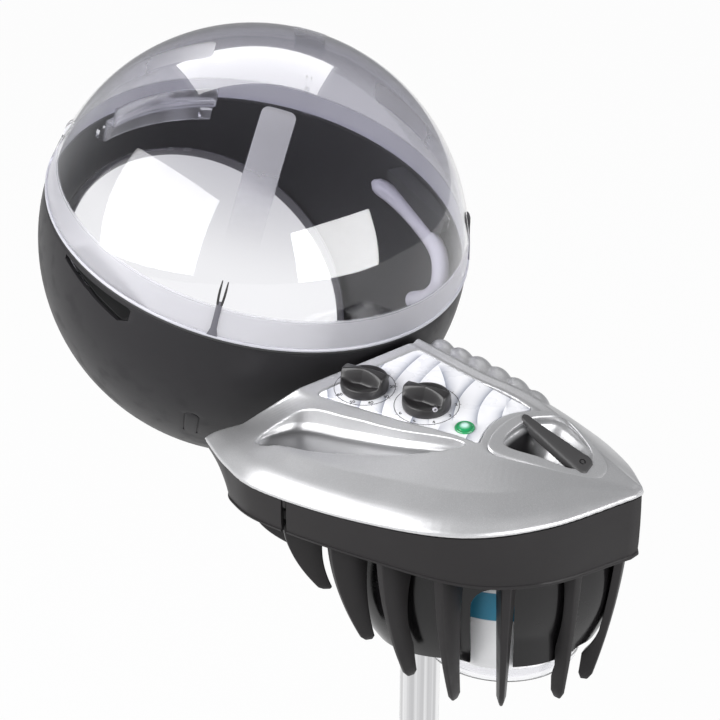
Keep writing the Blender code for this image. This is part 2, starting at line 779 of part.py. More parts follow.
def band_depth(y):
    forward = max(0.0, (BAND_DEEPENS_FROM_Y - y) / BAND_DEEPENS_OVER)
    return BAND_DEPTH + BAND_NOSE_EXTRA * forward ** BAND_DEEPENS_POWER


def tuck(point, share):
    """Draw the casing in under the hood by a share of its depth."""
    weight = smooth_step((point.y - TUCK_FROM_Y) / TUCK_OVER) * share ** 2
    return Vector((point.x * (1 - TUCK_NARROWS * weight), point.y - BAND_TUCK * weight))


def band_ring(outer, inner):
    depth = band_depth(outer.y)
    ring = []
    for edge, order in ((outer, (0, 0.5, 1)), (inner, (1, 0.5, 0))):
        for share in order:
            plan = tuck(edge, share)
            ring.append(Vector((plan.x, plan.y, EDGE_Z - BAND_GAP - (depth - BAND_GAP) * share)))
    return ring


def crossing(line, y):
    """Where a run of (outer, inner) point pairs crosses a y value."""
    for (a, a_in), (b, b_in) in zip(line, line[1:]):
        if (a.y - y) * (b.y - y) <= 0 and a.y != b.y:
            t = (y - a.y) / (b.y - a.y)
            return a.lerp(b, t), a_in.lerp(b_in, t)
    return line[-1]


def bands():
    """Dark band under the cover, in a front and a rear piece parted by two slots."""
    loop = body_loop()
    pairs = list(zip(inset_loop(loop, BAND_INSET), inset_loop(loop, BAND_INSET + BAND_WALL)))
    nose = min(range(len(loop)), key=lambda k: loop[k].y)
    split = next(k for k in range(nose, len(loop)) if loop[k].y > SLOT_Y + SLOT_WIDTH)
    turn = next(k for k in range(nose, 0, -1) if loop[k].y > SLOT_Y + SLOT_WIDTH)
    front_y = SLOT_Y - SLOT_WIDTH / 2
    rear_y = SLOT_Y + SLOT_WIDTH / 2
    front_line = [pair for k, pair in enumerate(pairs) if turn < k < split and pair[0].y < front_y]
    near_run = pairs[turn - 1:nose]
    far_run = pairs[nose:split + 2]
    front = [crossing(near_run, front_y)] + front_line + [crossing(far_run, front_y)]
    rear_line = [pair for pair in pairs[split:] + pairs[:turn + 1] if pair[0].y > rear_y]
    rear = [crossing(far_run, rear_y)] + rear_line + [crossing(near_run, rear_y)]
    loft("front_band", [band_ring(*pair) for pair in front], black())
    return loft("rear_band", [band_ring(*pair) for pair in rear], black())


def shroud_radius(turn, level):
    """Outer radius of the shroud about the jar, at a turn and a height."""
    belly = JAR_RADIUS + SHROUD_ROOM
    for bearing, rise, power in SHROUD_FLARES:
        belly += rise * max(0.0, cos(turn - radians(bearing))) ** power
    return max(JAR_RADIUS + SHROUD_FOOT_ROOM, belly * cos((level - SHROUD_BELLY) / SHROUD_SPAN))


def claw_rings(root, inward):
    """Claw blade from its root behind the band to its blunt tip, clear of the shroud."""
    back = min(max((root.y - NOSE_POINT[1]) / BAND_DEEPENS_OVER, 0.0), 1.0)
    reach = CLAW_DEPTH - CLAW_FALL * back ** 2
    top = FLOOR_Z + CLAW_ROOT_SINK
    side = Vector((-inward.y, inward.x))
    axis = Vector(JAR_AT)
    turn = atan2(root.y - axis.y, root.x - axis.x)
    rings = []
    for k in range(CLAW_LEVELS + 1):
        share = k / CLAW_LEVELS
        level = top + (-reach - top) * share
        deep = CLAW_ROOT[0] + (CLAW_TIP[0] - CLAW_ROOT[0]) * share
        wide = CLAW_ROOT[1] + (CLAW_TIP[1] - CLAW_ROOT[1]) * share
        under = level < SHROUD_BOTTOM - CLAW_PAST_SHROUD
        widest = max(shroud_radius(turn + aside, level) for aside in (-CLAW_SIDE_TURN, 0, CLAW_SIDE_TURN))
        limit = JAR_RADIUS + JAR_CLEARANCE if under else widest
        room = (root - axis).length - limit - CLAW_SHROUD_GAP
        deep = min(deep, room)
        outer = root + inward * min(CLAW_CURL * share ** CLAW_CURL_POWER, room - deep)
        inner = outer + inward * deep
        edge = side * wide * CLAW_EDGE_SHARE / 2
        full = side * wide / 2
        plan = (outer - edge, outer + edge, inner + full, inner - full)
        rings.append([Vector((p.x, p.y, EDGE_Z + level)) for p in plan])
    return rings


def on_bearing(loop, centre, bearing):
    """Where a closed plan outline meets a ray from a centre."""
    ray = Vector((cos(bearing), sin(bearing)))
    for a, b in zip(loop, loop[1:] + loop[:1]):
        edge = b - a
        turn = ray.x * edge.y - ray.y * edge.x
        if turn == 0:
            continue
        gap = a - centre
        reach = (gap.x * edge.y - gap.y * edge.x) / turn
        share = (gap.x * ray.y - gap.y * ray.x) / turn
        if reach > 0 and 0 <= share <= 1:
            return centre + ray * reach
    return loop[0]


def claw_guard():
    """Floor of the body with its row of claws, one moulding."""
    loop = body_loop()
    edge = inset_loop(loop, BAND_INSET + BAND_WALL + BAND_GAP)
    depth_share = (FLOOR_THICK - FLOOR_Z) / BAND_DEPTH
    rim = [tuck(point, depth_share) for point in edge]
    low = [Vector((p.x, p.y, EDGE_Z + FLOOR_Z)) for p in rim]
    guard = loft("claw_guard", [low, [p + Vector((0, 0, FLOOR_THICK)) for p in low]], black())
    axis = Vector(JAR_AT)
    for bearing in CLAW_BEARINGS:
        root = on_bearing(rim, axis, radians(bearing))
        inward = (axis - root).normalized()
        join(guard, loft("claw_tool", claw_rings(root + inward * CLAW_SETBACK, inward), black()))
    jar_wall = JAR_RADIUS + JAR_CLEARANCE
    jar_bore = ((jar_wall, -CUT_CLEAR), (jar_wall, CUT_CLEAR))
    cut(guard, loft("bore_tool", turned(at(*JAR_AT, EDGE_Z + FLOOR_Z), jar_bore, JAR_SIDES), black()))
    mast_wall = socket_radius() + RUNNING
    mast_bore = ((mast_wall, -CUT_CLEAR), (mast_wall, CUT_CLEAR))
    cut(guard, loft("bore_tool", turned(at(0, 0, EDGE_Z + FLOOR_Z), mast_bore, MAST_SIDES), black()))
    return guard


def inner_shroud():
    """Bulged skirt round the water jar, with an arched sight window and room for the mast."""
    rings = []
    axis = at(*JAR_AT, EDGE_Z)
    turns = [2 * pi * k / JAR_SIDES for k in range(JAR_SIDES)]
    step = (SHROUD_BOTTOM - FLOOR_Z) / SHROUD_LEVELS
    levels = [FLOOR_Z - SEAT + step * k for k in range(SHROUD_LEVELS + 1)]
    for wall, order in ((0, levels), (SHROUD_WALL, reversed(levels))):
        for level in order:
            ring = []
            for turn in turns:
                radius = shroud_radius(turn, level) - wall
                ring.append(axis @ Vector((radius * cos(turn), radius * sin(turn), level)))
            rings.append(ring)
    shroud = loft("inner_shroud", rings, black(), loop=True)
    mast_wall = socket_radius() + SHROUD_MAST_ROOM
    notch = turned(at(0, 0, EDGE_Z), ((mast_wall, SHROUD_BOTTOM - CUT_CLEAR), (mast_wall, 0)), MAST_SIDES)
    cut(shroud, loft("notch_tool", notch, black()))
    frame = at(*JAR_AT, EDGE_Z) @ Matrix.Rotation(radians(WINDOW_TURN), 4, 'Z')
    half = WINDOW_WIDTH / 2
    arch = [(half * cos(pi * k / 8), WINDOW_TOP - half + half * sin(pi * k / 8)) for k in range(9)]
    arch += [(-half, SHROUD_BOTTOM - CUT_CLEAR), (half, SHROUD_BOTTOM - CUT_CLEAR)]
    window = [[frame @ Vector((reach, y, z)) for y, z in arch] for reach in (JAR_RADIUS / 2, 2 * JAR_RADIUS)]
    cut(shroud, loft("window_tool", window, black()))
    return shroud


def socket_radius():
    return MAST_RADIUS + SEAT + BUSH_WALL + SEAT + SOCKET_WALL


def mast():
    top = EDGE_Z + FLOOR_Z - SOCKET_DROP + MAST_ENGAGE
    bore = MAST_RADIUS - MAST_WALL
    foot = PLUG_FLANGE + SEAT
    tube = ((MAST_RADIUS, foot), (MAST_RADIUS, top), (bore, top), (bore, foot))
    loft("mast_tube", turned(at(0, 0, 0), tube, MAST_SIDES), steel(), loop=True)
    spigot = bore - SEAT
    plug_top = PLUG_FLANGE + PLUG_SPIGOT
    plug = ((MAST_RADIUS, 0), (MAST_RADIUS, PLUG_FLANGE), (spigot, PLUG_FLANGE), (spigot, plug_top))
    loft("mast_end_plug", turned(at(0, 0, 0), plug, MAST_SIDES), rubber())
    return top


def yoke(mast_top):
    """Cast socket that turns on the mast, with two cheeks that carry the tilt hinge."""
    low = mast_top - MAST_ENGAGE
    bush_bore = MAST_RADIUS + SEAT
    bush = ((bush_bore + BUSH_WALL, low + SEAT), (bush_bore + BUSH_WALL, mast_top), (bush_bore, mast_top),
            (bush_bore, low + SEAT))
    loft("swivel_bush", turned(at(0, 0, 0), bush, MAST_SIDES), grey(), loop=True)
    bore = bush_bore + BUSH_WALL + SEAT
    outer = socket_radius()
    roof = mast_top + SEAT
    profile = ((outer, low), (outer, roof + SOCKET_ROOF), (bore, roof + SOCKET_ROOF))
    casting = loft("yoke_casting", turned(at(0, 0, 0), profile, MAST_SIDES), steel())
    hinge = hinge_frame().translation
    floor_top = EDGE_Z + FLOOR_Z + FLOOR_THICK + SEAT
    inner, far = YOKE_LUG_X
    back, front = CHEEK_FOOT_Y
    web_from, web_half, web_height = CHEEK_WEB
    outline = [Vector((back, floor_top)), Vector((front, floor_top))]
    for k in range(9):
        a = radians(CHEEK_ARC[0] + CHEEK_ARC[1] * k / 8)
        outline.append(Vector((hinge.y + BARREL_RADIUS * cos(a), hinge.z + BARREL_RADIUS * sin(a))))
    outline.append(Vector((back, floor_top + CHEEK_BACK_RISE)))
    for side in (-1, 1):
        cheek = [[Vector((side * x, p.x, p.y)) for p in outline] for x in (inner, far)]
        join(casting, loft("cheek_tool", cheek, steel()))
        ends = sorted((side * web_from, side * (inner + 1)))
        web = block((ends[0], -web_half, floor_top), (ends[1], web_half, floor_top + web_height))
        join(casting, loft("web_tool", web, steel()))
    mast_bore = ((bore, low - CUT_CLEAR), (bore, roof))
    cut(casting, loft("bore_tool", turned(at(0, 0, 0), mast_bore, MAST_SIDES), steel()))
    pin_axis = Matrix.Translation(hinge) @ Matrix.Rotation(radians(90), 4, 'Y')
    reach = far + CUT_CLEAR
    bore_rings = turned(pin_axis, ((PIN_RADIUS + SEAT, -reach), (PIN_RADIUS + SEAT, reach)), 16)
    cut(casting, loft("pin_tool", bore_rings, steel()))
    pins = []
    for side in (-1, 1):
        span = sorted((side * (HOOD_LUG_X[0] - RUNNING), side * (far + RUNNING)))
        pins.append(turned(pin_axis, ((PIN_RADIUS, span[0]), (PIN_RADIUS, span[1])), 16))
    lofts("tilt_pin", pins, steel())
    screw_axis = at(0, 0, low + SCREW_RISE) @ Matrix.Rotation(radians(90), 4, 'Y')
    shank, neck = SCREW_SHANK
    head, deep = SCREW_HEAD
    grip = ((shank, outer + SEAT), (shank, outer + neck), (head, outer + neck), (head, outer + neck + deep),
            (head - 2, outer + neck + deep + 2))
    return loft("swivel_screw", turned(screw_axis, grip, 16), black())


def boiler():
    """Boiler head over the jar, gasket, jar, heating loop and level probes."""
    axis = at(*JAR_AT, EDGE_Z)
    floor_top = FLOOR_Z + FLOOR_THICK
    ceiling = JAR_TOP + GASKET[1] + 2 * SEAT
    bore = JAR_RADIUS + HEAD_BORE_EASE
    outside = bore + HEAD_WALL
    roof = ceiling + HEAD_ROOF
    head = ((outside, floor_top + SEAT), (outside, roof - HEAD_ROUND), (outside - HEAD_ROUND, roof),
            (PLUG_BORE, roof), (PLUG_BORE, ceiling), (bore, ceiling), (bore, floor_top + SEAT))
    loft("boiler_head", turned(axis, head, JAR_SIDES), grey(), loop=True)
    mouth = JAR_RADIUS - GASKET[0]
    seal_low = JAR_TOP + SEAT
    seal_high = seal_low + GASKET[1]
    seal = ((JAR_RADIUS, seal_low), (JAR_RADIUS, seal_high), (mouth, seal_high), (mouth, seal_low))
    loft("jar_gasket", turned(axis, seal, JAR_SIDES), rubber(), loop=True)
    inside = JAR_RADIUS - JAR_WALL
    floor = JAR_BOTTOM + JAR_WALL
    jar = ((JAR_RADIUS - JAR_ROUND, JAR_BOTTOM), (JAR_RADIUS, JAR_BOTTOM + JAR_ROUND), (JAR_RADIUS, JAR_TOP),
           (inside, JAR_TOP), (inside, floor + JAR_ROUND), (inside - JAR_ROUND, floor))
    loft("boiler_jar", turned(axis, jar, JAR_SIDES), clear())
    return ceiling


def heater(ceiling):
    """Plug in the boiler head with the heating loop and two level probes below it."""
    axis = at(*JAR_AT, EDGE_Z)
    wide = PLUG_BORE - SEAT
    roof = ceiling + HEAD_ROOF
    plug = ((wide, ceiling - PLUG_SINK), (wide, roof), (PLUG_CROWN[0], roof + PLUG_CROWN[1]))
    loft("element_plug", turned(axis, plug, JAR_SIDES), black())
    top = ceiling - PLUG_SINK - SEAT
    half = HEATER_LOOP / 2
    bend = top - HEATER_REACH + half
    path = [(-half, 0, top)]
    path += [(-half * cos(pi * k / 8), 0, bend - half * sin(pi * k / 8)) for k in range(9)]
    path.append((half, 0, top))
    loft("heater_element", sweep([axis @ Vector(p) for p in path], HEATER_RADIUS, 10), steel())
    probes = []
    for y, reach in PROBES:
        frame = axis @ at(0, y, 0)
        probes.append(turned(frame, ((PROBE_RADIUS, top - reach), (PROBE_RADIUS, top)), 8))
    lofts("level_probe", probes, steel())


def steam_duct(ceiling):
    """Bent tube from the boiler head's roof to just inside the hood's inlet."""
    hinge = hinge_frame()
    start = Vector((0, JAR_AT[1] + DUCT_FROM_AXIS, EDGE_Z + ceiling + HEAD_ROOF + SEAT))
    ride = EDGE_Z + DUCT_LEVEL
    elbow = Vector((0, start.y + DUCT_BEND / 3, ride - DUCT_RISE * 2 / 3))
    route = [start + Vector((0, 0, DUCT_RISE)), elbow, Vector((0, start.y + DUCT_BEND, ride)),
             Vector((0, start.y + 2.7 * DUCT_BEND, ride)), hinge @ Vector((0, -INLET_DROP, -INLET_DROP)),
             hinge @ Vector((0, DUCT_PAST_HINGE, -INLET_DROP))]
    path = [start] + spline_points(route, DUCT_STEPS)
    outside = sweep(path, DUCT_RADIUS, DUCT_SIDES)
    inside = sweep(path, DUCT_RADIUS - DUCT_WALL, DUCT_SIDES)
    return loft("steam_duct", outside + list(reversed(inside)), grey(), loop=True)


def control_board():
    """Circuit board on spacers over the floor, with its relay and terminal blocks."""
    low = EDGE_Z + FLOOR_Z + FLOOR_THICK + SEAT
    x0, y0 = BOARD_LOW
    x1, y1 = x0 + BOARD_SIZE[0], y0 + BOARD_SIZE[1]
    radius, height = BOARD_SPACER
    spacers = []
    for x in (x0 + SPACER_INSET, x1 - SPACER_INSET):
        for y in (y0 + SPACER_INSET, y1 - SPACER_INSET):
            spacers.append(turned(at(x, y, low), ((radius, 0), (radius, height)), 10))
    lofts("board_spacer", spacers, steel())
    base = low + height + SEAT
    top = base + BOARD_SIZE[2]
    green = material("board", (0.05, 0.2, 0.08), 0.6)
    board = loft("control_board", block((x0, y0, base), (x1, y1, top)), green)
    sink = top - BOARD_SIZE[2] / 2
    for (dx, dy), (width, depth, rise) in (RELAY, TERMINALS, CAPACITOR):
        x = x0 + dx
        y = y0 + dy
        body = block((x, y, sink), (x + width, y + depth, top + rise))
        join(board, loft("chip_tool", body, black()))
    return board


def hood_shell():
    """Dark bowl from the dome's rim to the slanting opening, with hand-holds and inlet."""
    top = RIM_LEVEL - SEAL_THICK / 2 - SEAT
    lean = radians(OPENING_LEAN)
    rings = []
    for radius in (HOOD_RADIUS, HOOD_RADIUS - SHELL_WALL):
        rows = []
        for k in range(SHELL_LEVELS + 1):
            ring = []
            for s in range(HOOD_SIDES):
                turn = 2 * pi * s / HOOD_SIDES
                a = cos(turn) * sin(lean)
                b = cos(lean)
                end = atan2(a, b) + acos(OPENING_LEVEL / radius / sqrt(a * a + b * b))
                start = acos(top / radius)
                polar = start + (end - start) * k / SHELL_LEVELS
                across = radius * sin(polar)
                spot = Vector((across * sin(turn), -across * cos(turn), radius * cos(polar)))
                ring.append(hood_frame() @ spot)
            rows.append(ring)
        rings += rows if radius == HOOD_RADIUS else list(reversed(rows))
    shell = loft("hood_shell", rings, black(), loop=True)
    for side in (-1, 1):
        cut(shell, hold_prism("hold_tool", side, 0, HOOD_RADIUS - 2 * HOLD_REACH, HOOD_RADIUS + CUT_CLEAR))
    wall = INLET_RADIUS + ROUND_SEAT
    inlet = turned(inlet_frame(), ((wall, -CUT_CLEAR), (wall, CUT_CLEAR)), 24)
    cut(shell, loft("inlet_tool", inlet, black()))
    return shell


def inlet_frame():
    """On the shell's surface at the hinge, local +Z into the hood."""
    place = hinge_frame() @ Matrix.Translation((0, HINGE_STANDOFF, -INLET_DROP))
    return place @ Matrix.Rotation(radians(-90), 4, 'X')


def hold_prism(name, side, grow, low, high):
    """Wedge of a hand-hold under the rim, run out sideways."""
    deep = HOLD_TOP_LEVEL - HOLD_DEPTH
    front_low = HOLD_TOP_LEVEL - HOLD_FRONT_HEIGHT
    back_low = deep + HOLD_BACK_RISE
    corners = ((HOLD_FRONT_Y, HOLD_TOP_LEVEL), (HOLD_FRONT_Y, front_low), (HOLD_DEEP_Y, deep),
               (HOLD_BACK_Y, back_low), (HOLD_BACK_Y, HOLD_TOP_LEVEL))
    wedge = inset_loop([Vector(corner) for corner in corners], -grow)
    rings = [[hood_frame() @ Vector((side * x, p.x, p.y)) for p in wedge] for x in (low, high)]
    return loft(name, rings, black())


def ball(name, radius):
    bm = bmesh.new()
    bmesh.ops.create_uvsphere(bm, u_segments=HOOD_SIDES, v_segments=24, radius=radius, matrix=hood_frame())
    return world_mesh(name, bm, black())


def hand_cups():
    """Blind cups behind the hand-holds, seated on the inside of the shell."""
    for side, label in ((-1, "left"), (1, "right")):
        floor = HOOD_RADIUS - SHELL_WALL - HOLD_REACH
        cup = hold_prism("hand_cup_" + label, side, HOLD_WALL, floor - HOLD_WALL, HOOD_RADIUS)
        combine(cup, ball("ball_tool", HOOD_RADIUS - SHELL_WALL - ROUND_SEAT), 'INTERSECT')
        cut(cup, hold_prism("hold_tool", side, 0, floor, HOOD_RADIUS + CUT_CLEAR))


def visor():
    """Clear dome and the seal ring between its rim and the shell."""
    low = RIM_LEVEL + SEAL_THICK / 2 + SEAT
    crown = radians(DOME_CROWN)
    rings = []
    for radius in (HOOD_RADIUS, HOOD_RADIUS - DOME_WALL):
        rows = []
        for k in range(DOME_LEVELS + 1):
            polar = crown + (acos(low / radius) - crown) * k / DOME_LEVELS
            rows.append(circle(hood_frame(), radius * sin(polar), radius * cos(polar), HOOD_SIDES))
        rings += rows if radius == HOOD_RADIUS else list(reversed(rows))
    loft("visor_dome", rings, clear())
    outer = sqrt(HOOD_RADIUS ** 2 - RIM_LEVEL ** 2) + SEAL_PROUD
    half = SEAL_THICK / 2
    profile = ((outer, RIM_LEVEL - half), (outer, RIM_LEVEL + half), (outer - SEAL_WIDTH, RIM_LEVEL + half),
               (outer - SEAL_WIDTH, RIM_LEVEL - half))
    return loft("visor_seal", turned(hood_frame(), profile, HOOD_SIDES), rubber(), loop=True)


def dome_clips():
    """Four straps that hold the dome's rim to the shell, each with a raised thumb end."""
    groups = []
    for turn in CLIP_TURNS:
        rings = []
        for share, bump in CLIP_FORM:
            level = CLIP_FOOT_LEVEL + (CLIP_TOP_LEVEL - CLIP_FOOT_LEVEL) * share
            low = HOOD_RADIUS + ROUND_SEAT
            high = low + CLIP_THICK + CLIP_BUMP * bump
            ring = []
            for radius, side in ((low, -1), (high, -1), (high, 1), (low, 1)):
                half_turn = side * CLIP_WIDTH / 2 / radius * 180 / pi
                ring.append(hood_point(turn + half_turn, level * radius / HOOD_RADIUS, radius))
            rings.append(ring)
        groups.append(rings)
    lofts("dome_clip", groups, black())


def steam_bars():
    """Steam spreader bars along both inner walls, rounded at the free end."""
    ride = HOOD_RADIUS - SHELL_WALL - ROUND_SEAT - STEAM_BAR_RADIUS
    for side, label in ((-1, "left"), (1, "right")):
        route = [hood_point(side * turn, level, ride) for turn, level in STEAM_BAR_ROUTE]
        rings = sweep(spline_points(route, 15), STEAM_BAR_RADIUS, STEAM_BAR_SIDES)
        tip = sum(rings[0], Vector()) / STEAM_BAR_SIDES
        rings[0] = [tip.lerp(p, 0.6) for p in rings[0]]
        loft("steam_bar_" + label, rings, grey())


def drip_gutter():
    """Trough round the inside of the slanting opening that catches condensed water."""
    frame = hood_frame() @ Matrix.Rotation(radians(OPENING_LEAN), 4, 'X')
    inside = HOOD_RADIUS - SHELL_WALL - ROUND_SEAT
    low = OPENING_LEVEL + GUTTER_RISE
    outer_low = sqrt(inside ** 2 - low ** 2)
    outer_high = sqrt(inside ** 2 - (low + GUTTER_WALL) ** 2)
    lip = outer_low - GUTTER_WIDTH
    profile = ((outer_low, low), (outer_high, low + GUTTER_WALL), (lip + GUTTER_WALL, low + GUTTER_WALL),
               (lip + GUTTER_WALL, low + GUTTER_HEIGHT), (lip, low + GUTTER_HEIGHT), (lip, low))
    return loft("drip_gutter", turned(frame, profile, HOOD_SIDES), black(), loop=True)


def sector(turn_from, turn_to, steps, profile):
    """Rings of a part-turn about the hood's axis, measured from the front."""
    rings = []
    for k in range(steps + 1):
        turn = radians(turn_from + (turn_to - turn_from) * k / steps)
        rings.append([hood_frame() @ Vector((r * sin(turn), r * cos(turn), z)) for r, z in profile])
    return rings


def front_deflector():
    """Clear stepped guard at the front of the hood, on two brackets from the shell."""
    low, mid, high = DEFLECTOR_LEVELS
    r = HOOD_RADIUS - DEFLECTOR_INSET
    s = DEFLECTOR_STEP
    w = DEFLECTOR_WALL
    profile = ((r, low), (r + w, low), (r + w, mid + w), (r - s + w, mid + w), (r - s + w, high),
               (r - s, high), (r - s, mid), (r, mid))
    turn = DEFLECTOR_HALF_TURN
    loft("front_deflector", sector(-turn, turn, 10, profile), clear())
    inside = HOOD_RADIUS - SHELL_WALL - ROUND_SEAT
    groups = []
    for side in (-1, 1):
        start = side * turn
        near = r + w + SEAT
        top = low + BRACKET_HEIGHT
        far_low = sqrt(inside ** 2 - low ** 2)
        far_top = sqrt(inside ** 2 - top ** 2)
        shape = ((near, low), (far_low, low), (far_top, top), (near, top))
        groups.append(sector(start - side * BRACKET_TURN, start, 1, shape))
    lofts("deflector_bracket", groups, clear())


def hood_neck():
    """Saddle on the back of the shell with two lugs on the tilt axis, and the steam inlet."""
    frame = hinge_frame()
    width, height, thick = NECK_PAD
    low = HINGE_STANDOFF - thick
    middle = -NECK_PAD_DROP
    reach = HINGE_STANDOFF + NECK_SADDLE
    pad = block((-width / 2, low, middle - height / 2), (width / 2, reach, middle + height / 2))
    neck = loft("hood_neck", [[frame @ p for p in ring] for ring in pad], black())
    for side in (-1, 1):
        outline = []
        for k in range(9):
            a = radians(90 + 180 * k / 8)
            outline.append(Vector((BARREL_RADIUS * cos(a), BARREL_RADIUS * sin(a))))
        outline += [Vector((low + 2, -BARREL_RADIUS - LUG_FOOT[0])), Vector((low + 2, LUG_FOOT[1]))]
        lug = [[frame @ Vector((side * x, p.x, p.y)) for p in outline] for x in HOOD_LUG_X]
        join(neck, loft("lug_tool", lug, black()))
    cut(neck, ball("ball_tool", HOOD_RADIUS + ROUND_SEAT))
    wall = INLET_RADIUS + SEAT
    inlet = turned(inlet_frame(), ((wall, -2 * CUT_CLEAR), (wall, CUT_CLEAR)), 24)
    cut(neck, loft("inlet_tool", inlet, black()))
    pin_axis = frame @ Matrix.Rotation(radians(90), 4, 'Y')
    reach = YOKE_LUG_X[1]
    pin_bore = turned(pin_axis, ((PIN_RADIUS + SEAT, -reach), (PIN_RADIUS + SEAT, reach)), 16)
    cut(neck, loft("pin_tool", pin_bore, black()))
    bore = INLET_RADIUS - INLET_WALL
    end = INLET_DEPTH - thick
    collar = ((INLET_RADIUS, -thick), (INLET_RADIUS, end), (bore, end), (bore, -thick))
    return loft("steam_inlet", turned(inlet_frame(), collar, 24), grey(), loop=True)


def parent_to(name, matrix, children):
    """Carry a body's pieces on an empty that sits on its joint axis."""
    carrier = bpy.data.objects.new(name, None)
    place = matrix.copy()
    place.translation = place.translation * MM
    carrier.matrix_world = place
    bpy.context.scene.collection.objects.link(carrier)
    for child in children:
        piece = bpy.data.objects[child]
        piece.parent = carrier
        piece.matrix_parent_inverse = place.inverted()


def main():
    clear_scene()
    mast_top = mast()
    yoke(mast_top)
    top_cover()
    control_panel()
    knob("timer_knob", TIMER_AT, TIMER_REST_TURN)
    knob("steam_knob", STEAM_AT, STEAM_REST_TURN)
    under_panel("timer_unit", TIMER_AT, TIMER_UNIT, grey())
    under_panel("steam_regulator", STEAM_AT, REGULATOR_UNIT, grey())
    pilot_lamp()
    handle_bezel()
    grip_bar()
    bands()
    claw_guard()
    inner_shroud()
    ceiling = boiler()
    heater(ceiling)
    steam_duct(ceiling)
    control_board()
    hood_shell()
    hand_cups()
    visor()
    dome_clips()
    steam_bars()
    drip_gutter()
    front_deflector()
    hood_neck()
    parent_to("hood_axis", hinge_frame(), (
        "hood_shell", "hand_cup_left", "hand_cup_right", "visor_dome", "visor_seal", "dome_clip_1",
        "dome_clip_2", "dome_clip_3", "dome_clip_4", "steam_bar_left", "steam_bar_right", "drip_gutter",
        "front_deflector", "deflector_bracket_1", "deflector_bracket_2", "hood_neck", "steam_inlet"))
    parent_to("timer_axis", panel_frame(TIMER_AT), ("timer_knob",))
    parent_to("steam_axis", panel_frame(STEAM_AT), ("steam_knob",))
    parent_to("jar_axis", at(*JAR_AT, EDGE_Z + JAR_TOP), ("boiler_jar",))


main()
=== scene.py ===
# %% [markdown]
# # Dressing a salon hair steamer
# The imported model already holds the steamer's solids, joints and bodies in one frame. This lesson loads it and
# models the pieces that a customer sees again, with smooth forms, moulded edges and real finishes. The hidden
# pieces only get a finish. Forms are drawn in millimetres, and the masks of finishes in metres.

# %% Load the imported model
from math import atan2, cos, pi, radians, sin, sqrt

import bpy
from mathutils import Matrix, Vector


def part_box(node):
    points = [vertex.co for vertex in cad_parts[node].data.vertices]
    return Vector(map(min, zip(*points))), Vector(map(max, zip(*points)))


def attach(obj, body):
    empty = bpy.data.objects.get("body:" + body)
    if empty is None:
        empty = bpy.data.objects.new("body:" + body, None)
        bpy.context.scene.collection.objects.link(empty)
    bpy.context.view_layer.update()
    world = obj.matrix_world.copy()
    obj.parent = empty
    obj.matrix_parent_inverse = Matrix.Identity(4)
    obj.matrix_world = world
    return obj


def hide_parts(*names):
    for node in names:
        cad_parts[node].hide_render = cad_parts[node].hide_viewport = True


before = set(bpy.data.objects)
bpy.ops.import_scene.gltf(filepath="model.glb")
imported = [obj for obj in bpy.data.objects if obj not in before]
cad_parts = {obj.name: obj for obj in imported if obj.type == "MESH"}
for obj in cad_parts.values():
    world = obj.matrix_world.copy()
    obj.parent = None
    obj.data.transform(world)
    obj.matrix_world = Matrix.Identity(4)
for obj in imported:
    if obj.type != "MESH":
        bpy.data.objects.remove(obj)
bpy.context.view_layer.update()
MM = 0.001

# %% [markdown]
# The camera comes first, because everything is judged through it. Its place was solved from the photograph: it
# looks down at the steamer from the nose side with a long lens, so the verticals hardly lean together.

# %% Camera
CAMERA_AT = (-0.871, -0.954, 0.954)
CAMERA_ALONG = Vector((0.5896, 0.7024, -0.399))
CAMERA_LENS = 85.0
SENSOR = 36.0

bpy.ops.object.camera_add(location=CAMERA_AT, rotation=CAMERA_ALONG.to_track_quat('-Z', 'Y').to_euler())
camera = bpy.context.object
camera.data.lens = CAMERA_LENS
camera.data.sensor_width = SENSOR
bpy.context.scene.camera = camera
print("camera", CAMERA_AT)

# %% [markdown]
# Finishes are built from a few small steps: read the place on the piece, make a noise, bend its range, mix two
# colours. Each step gets a short word, so that a finish reads like a recipe.

# %% Helpers for finishes


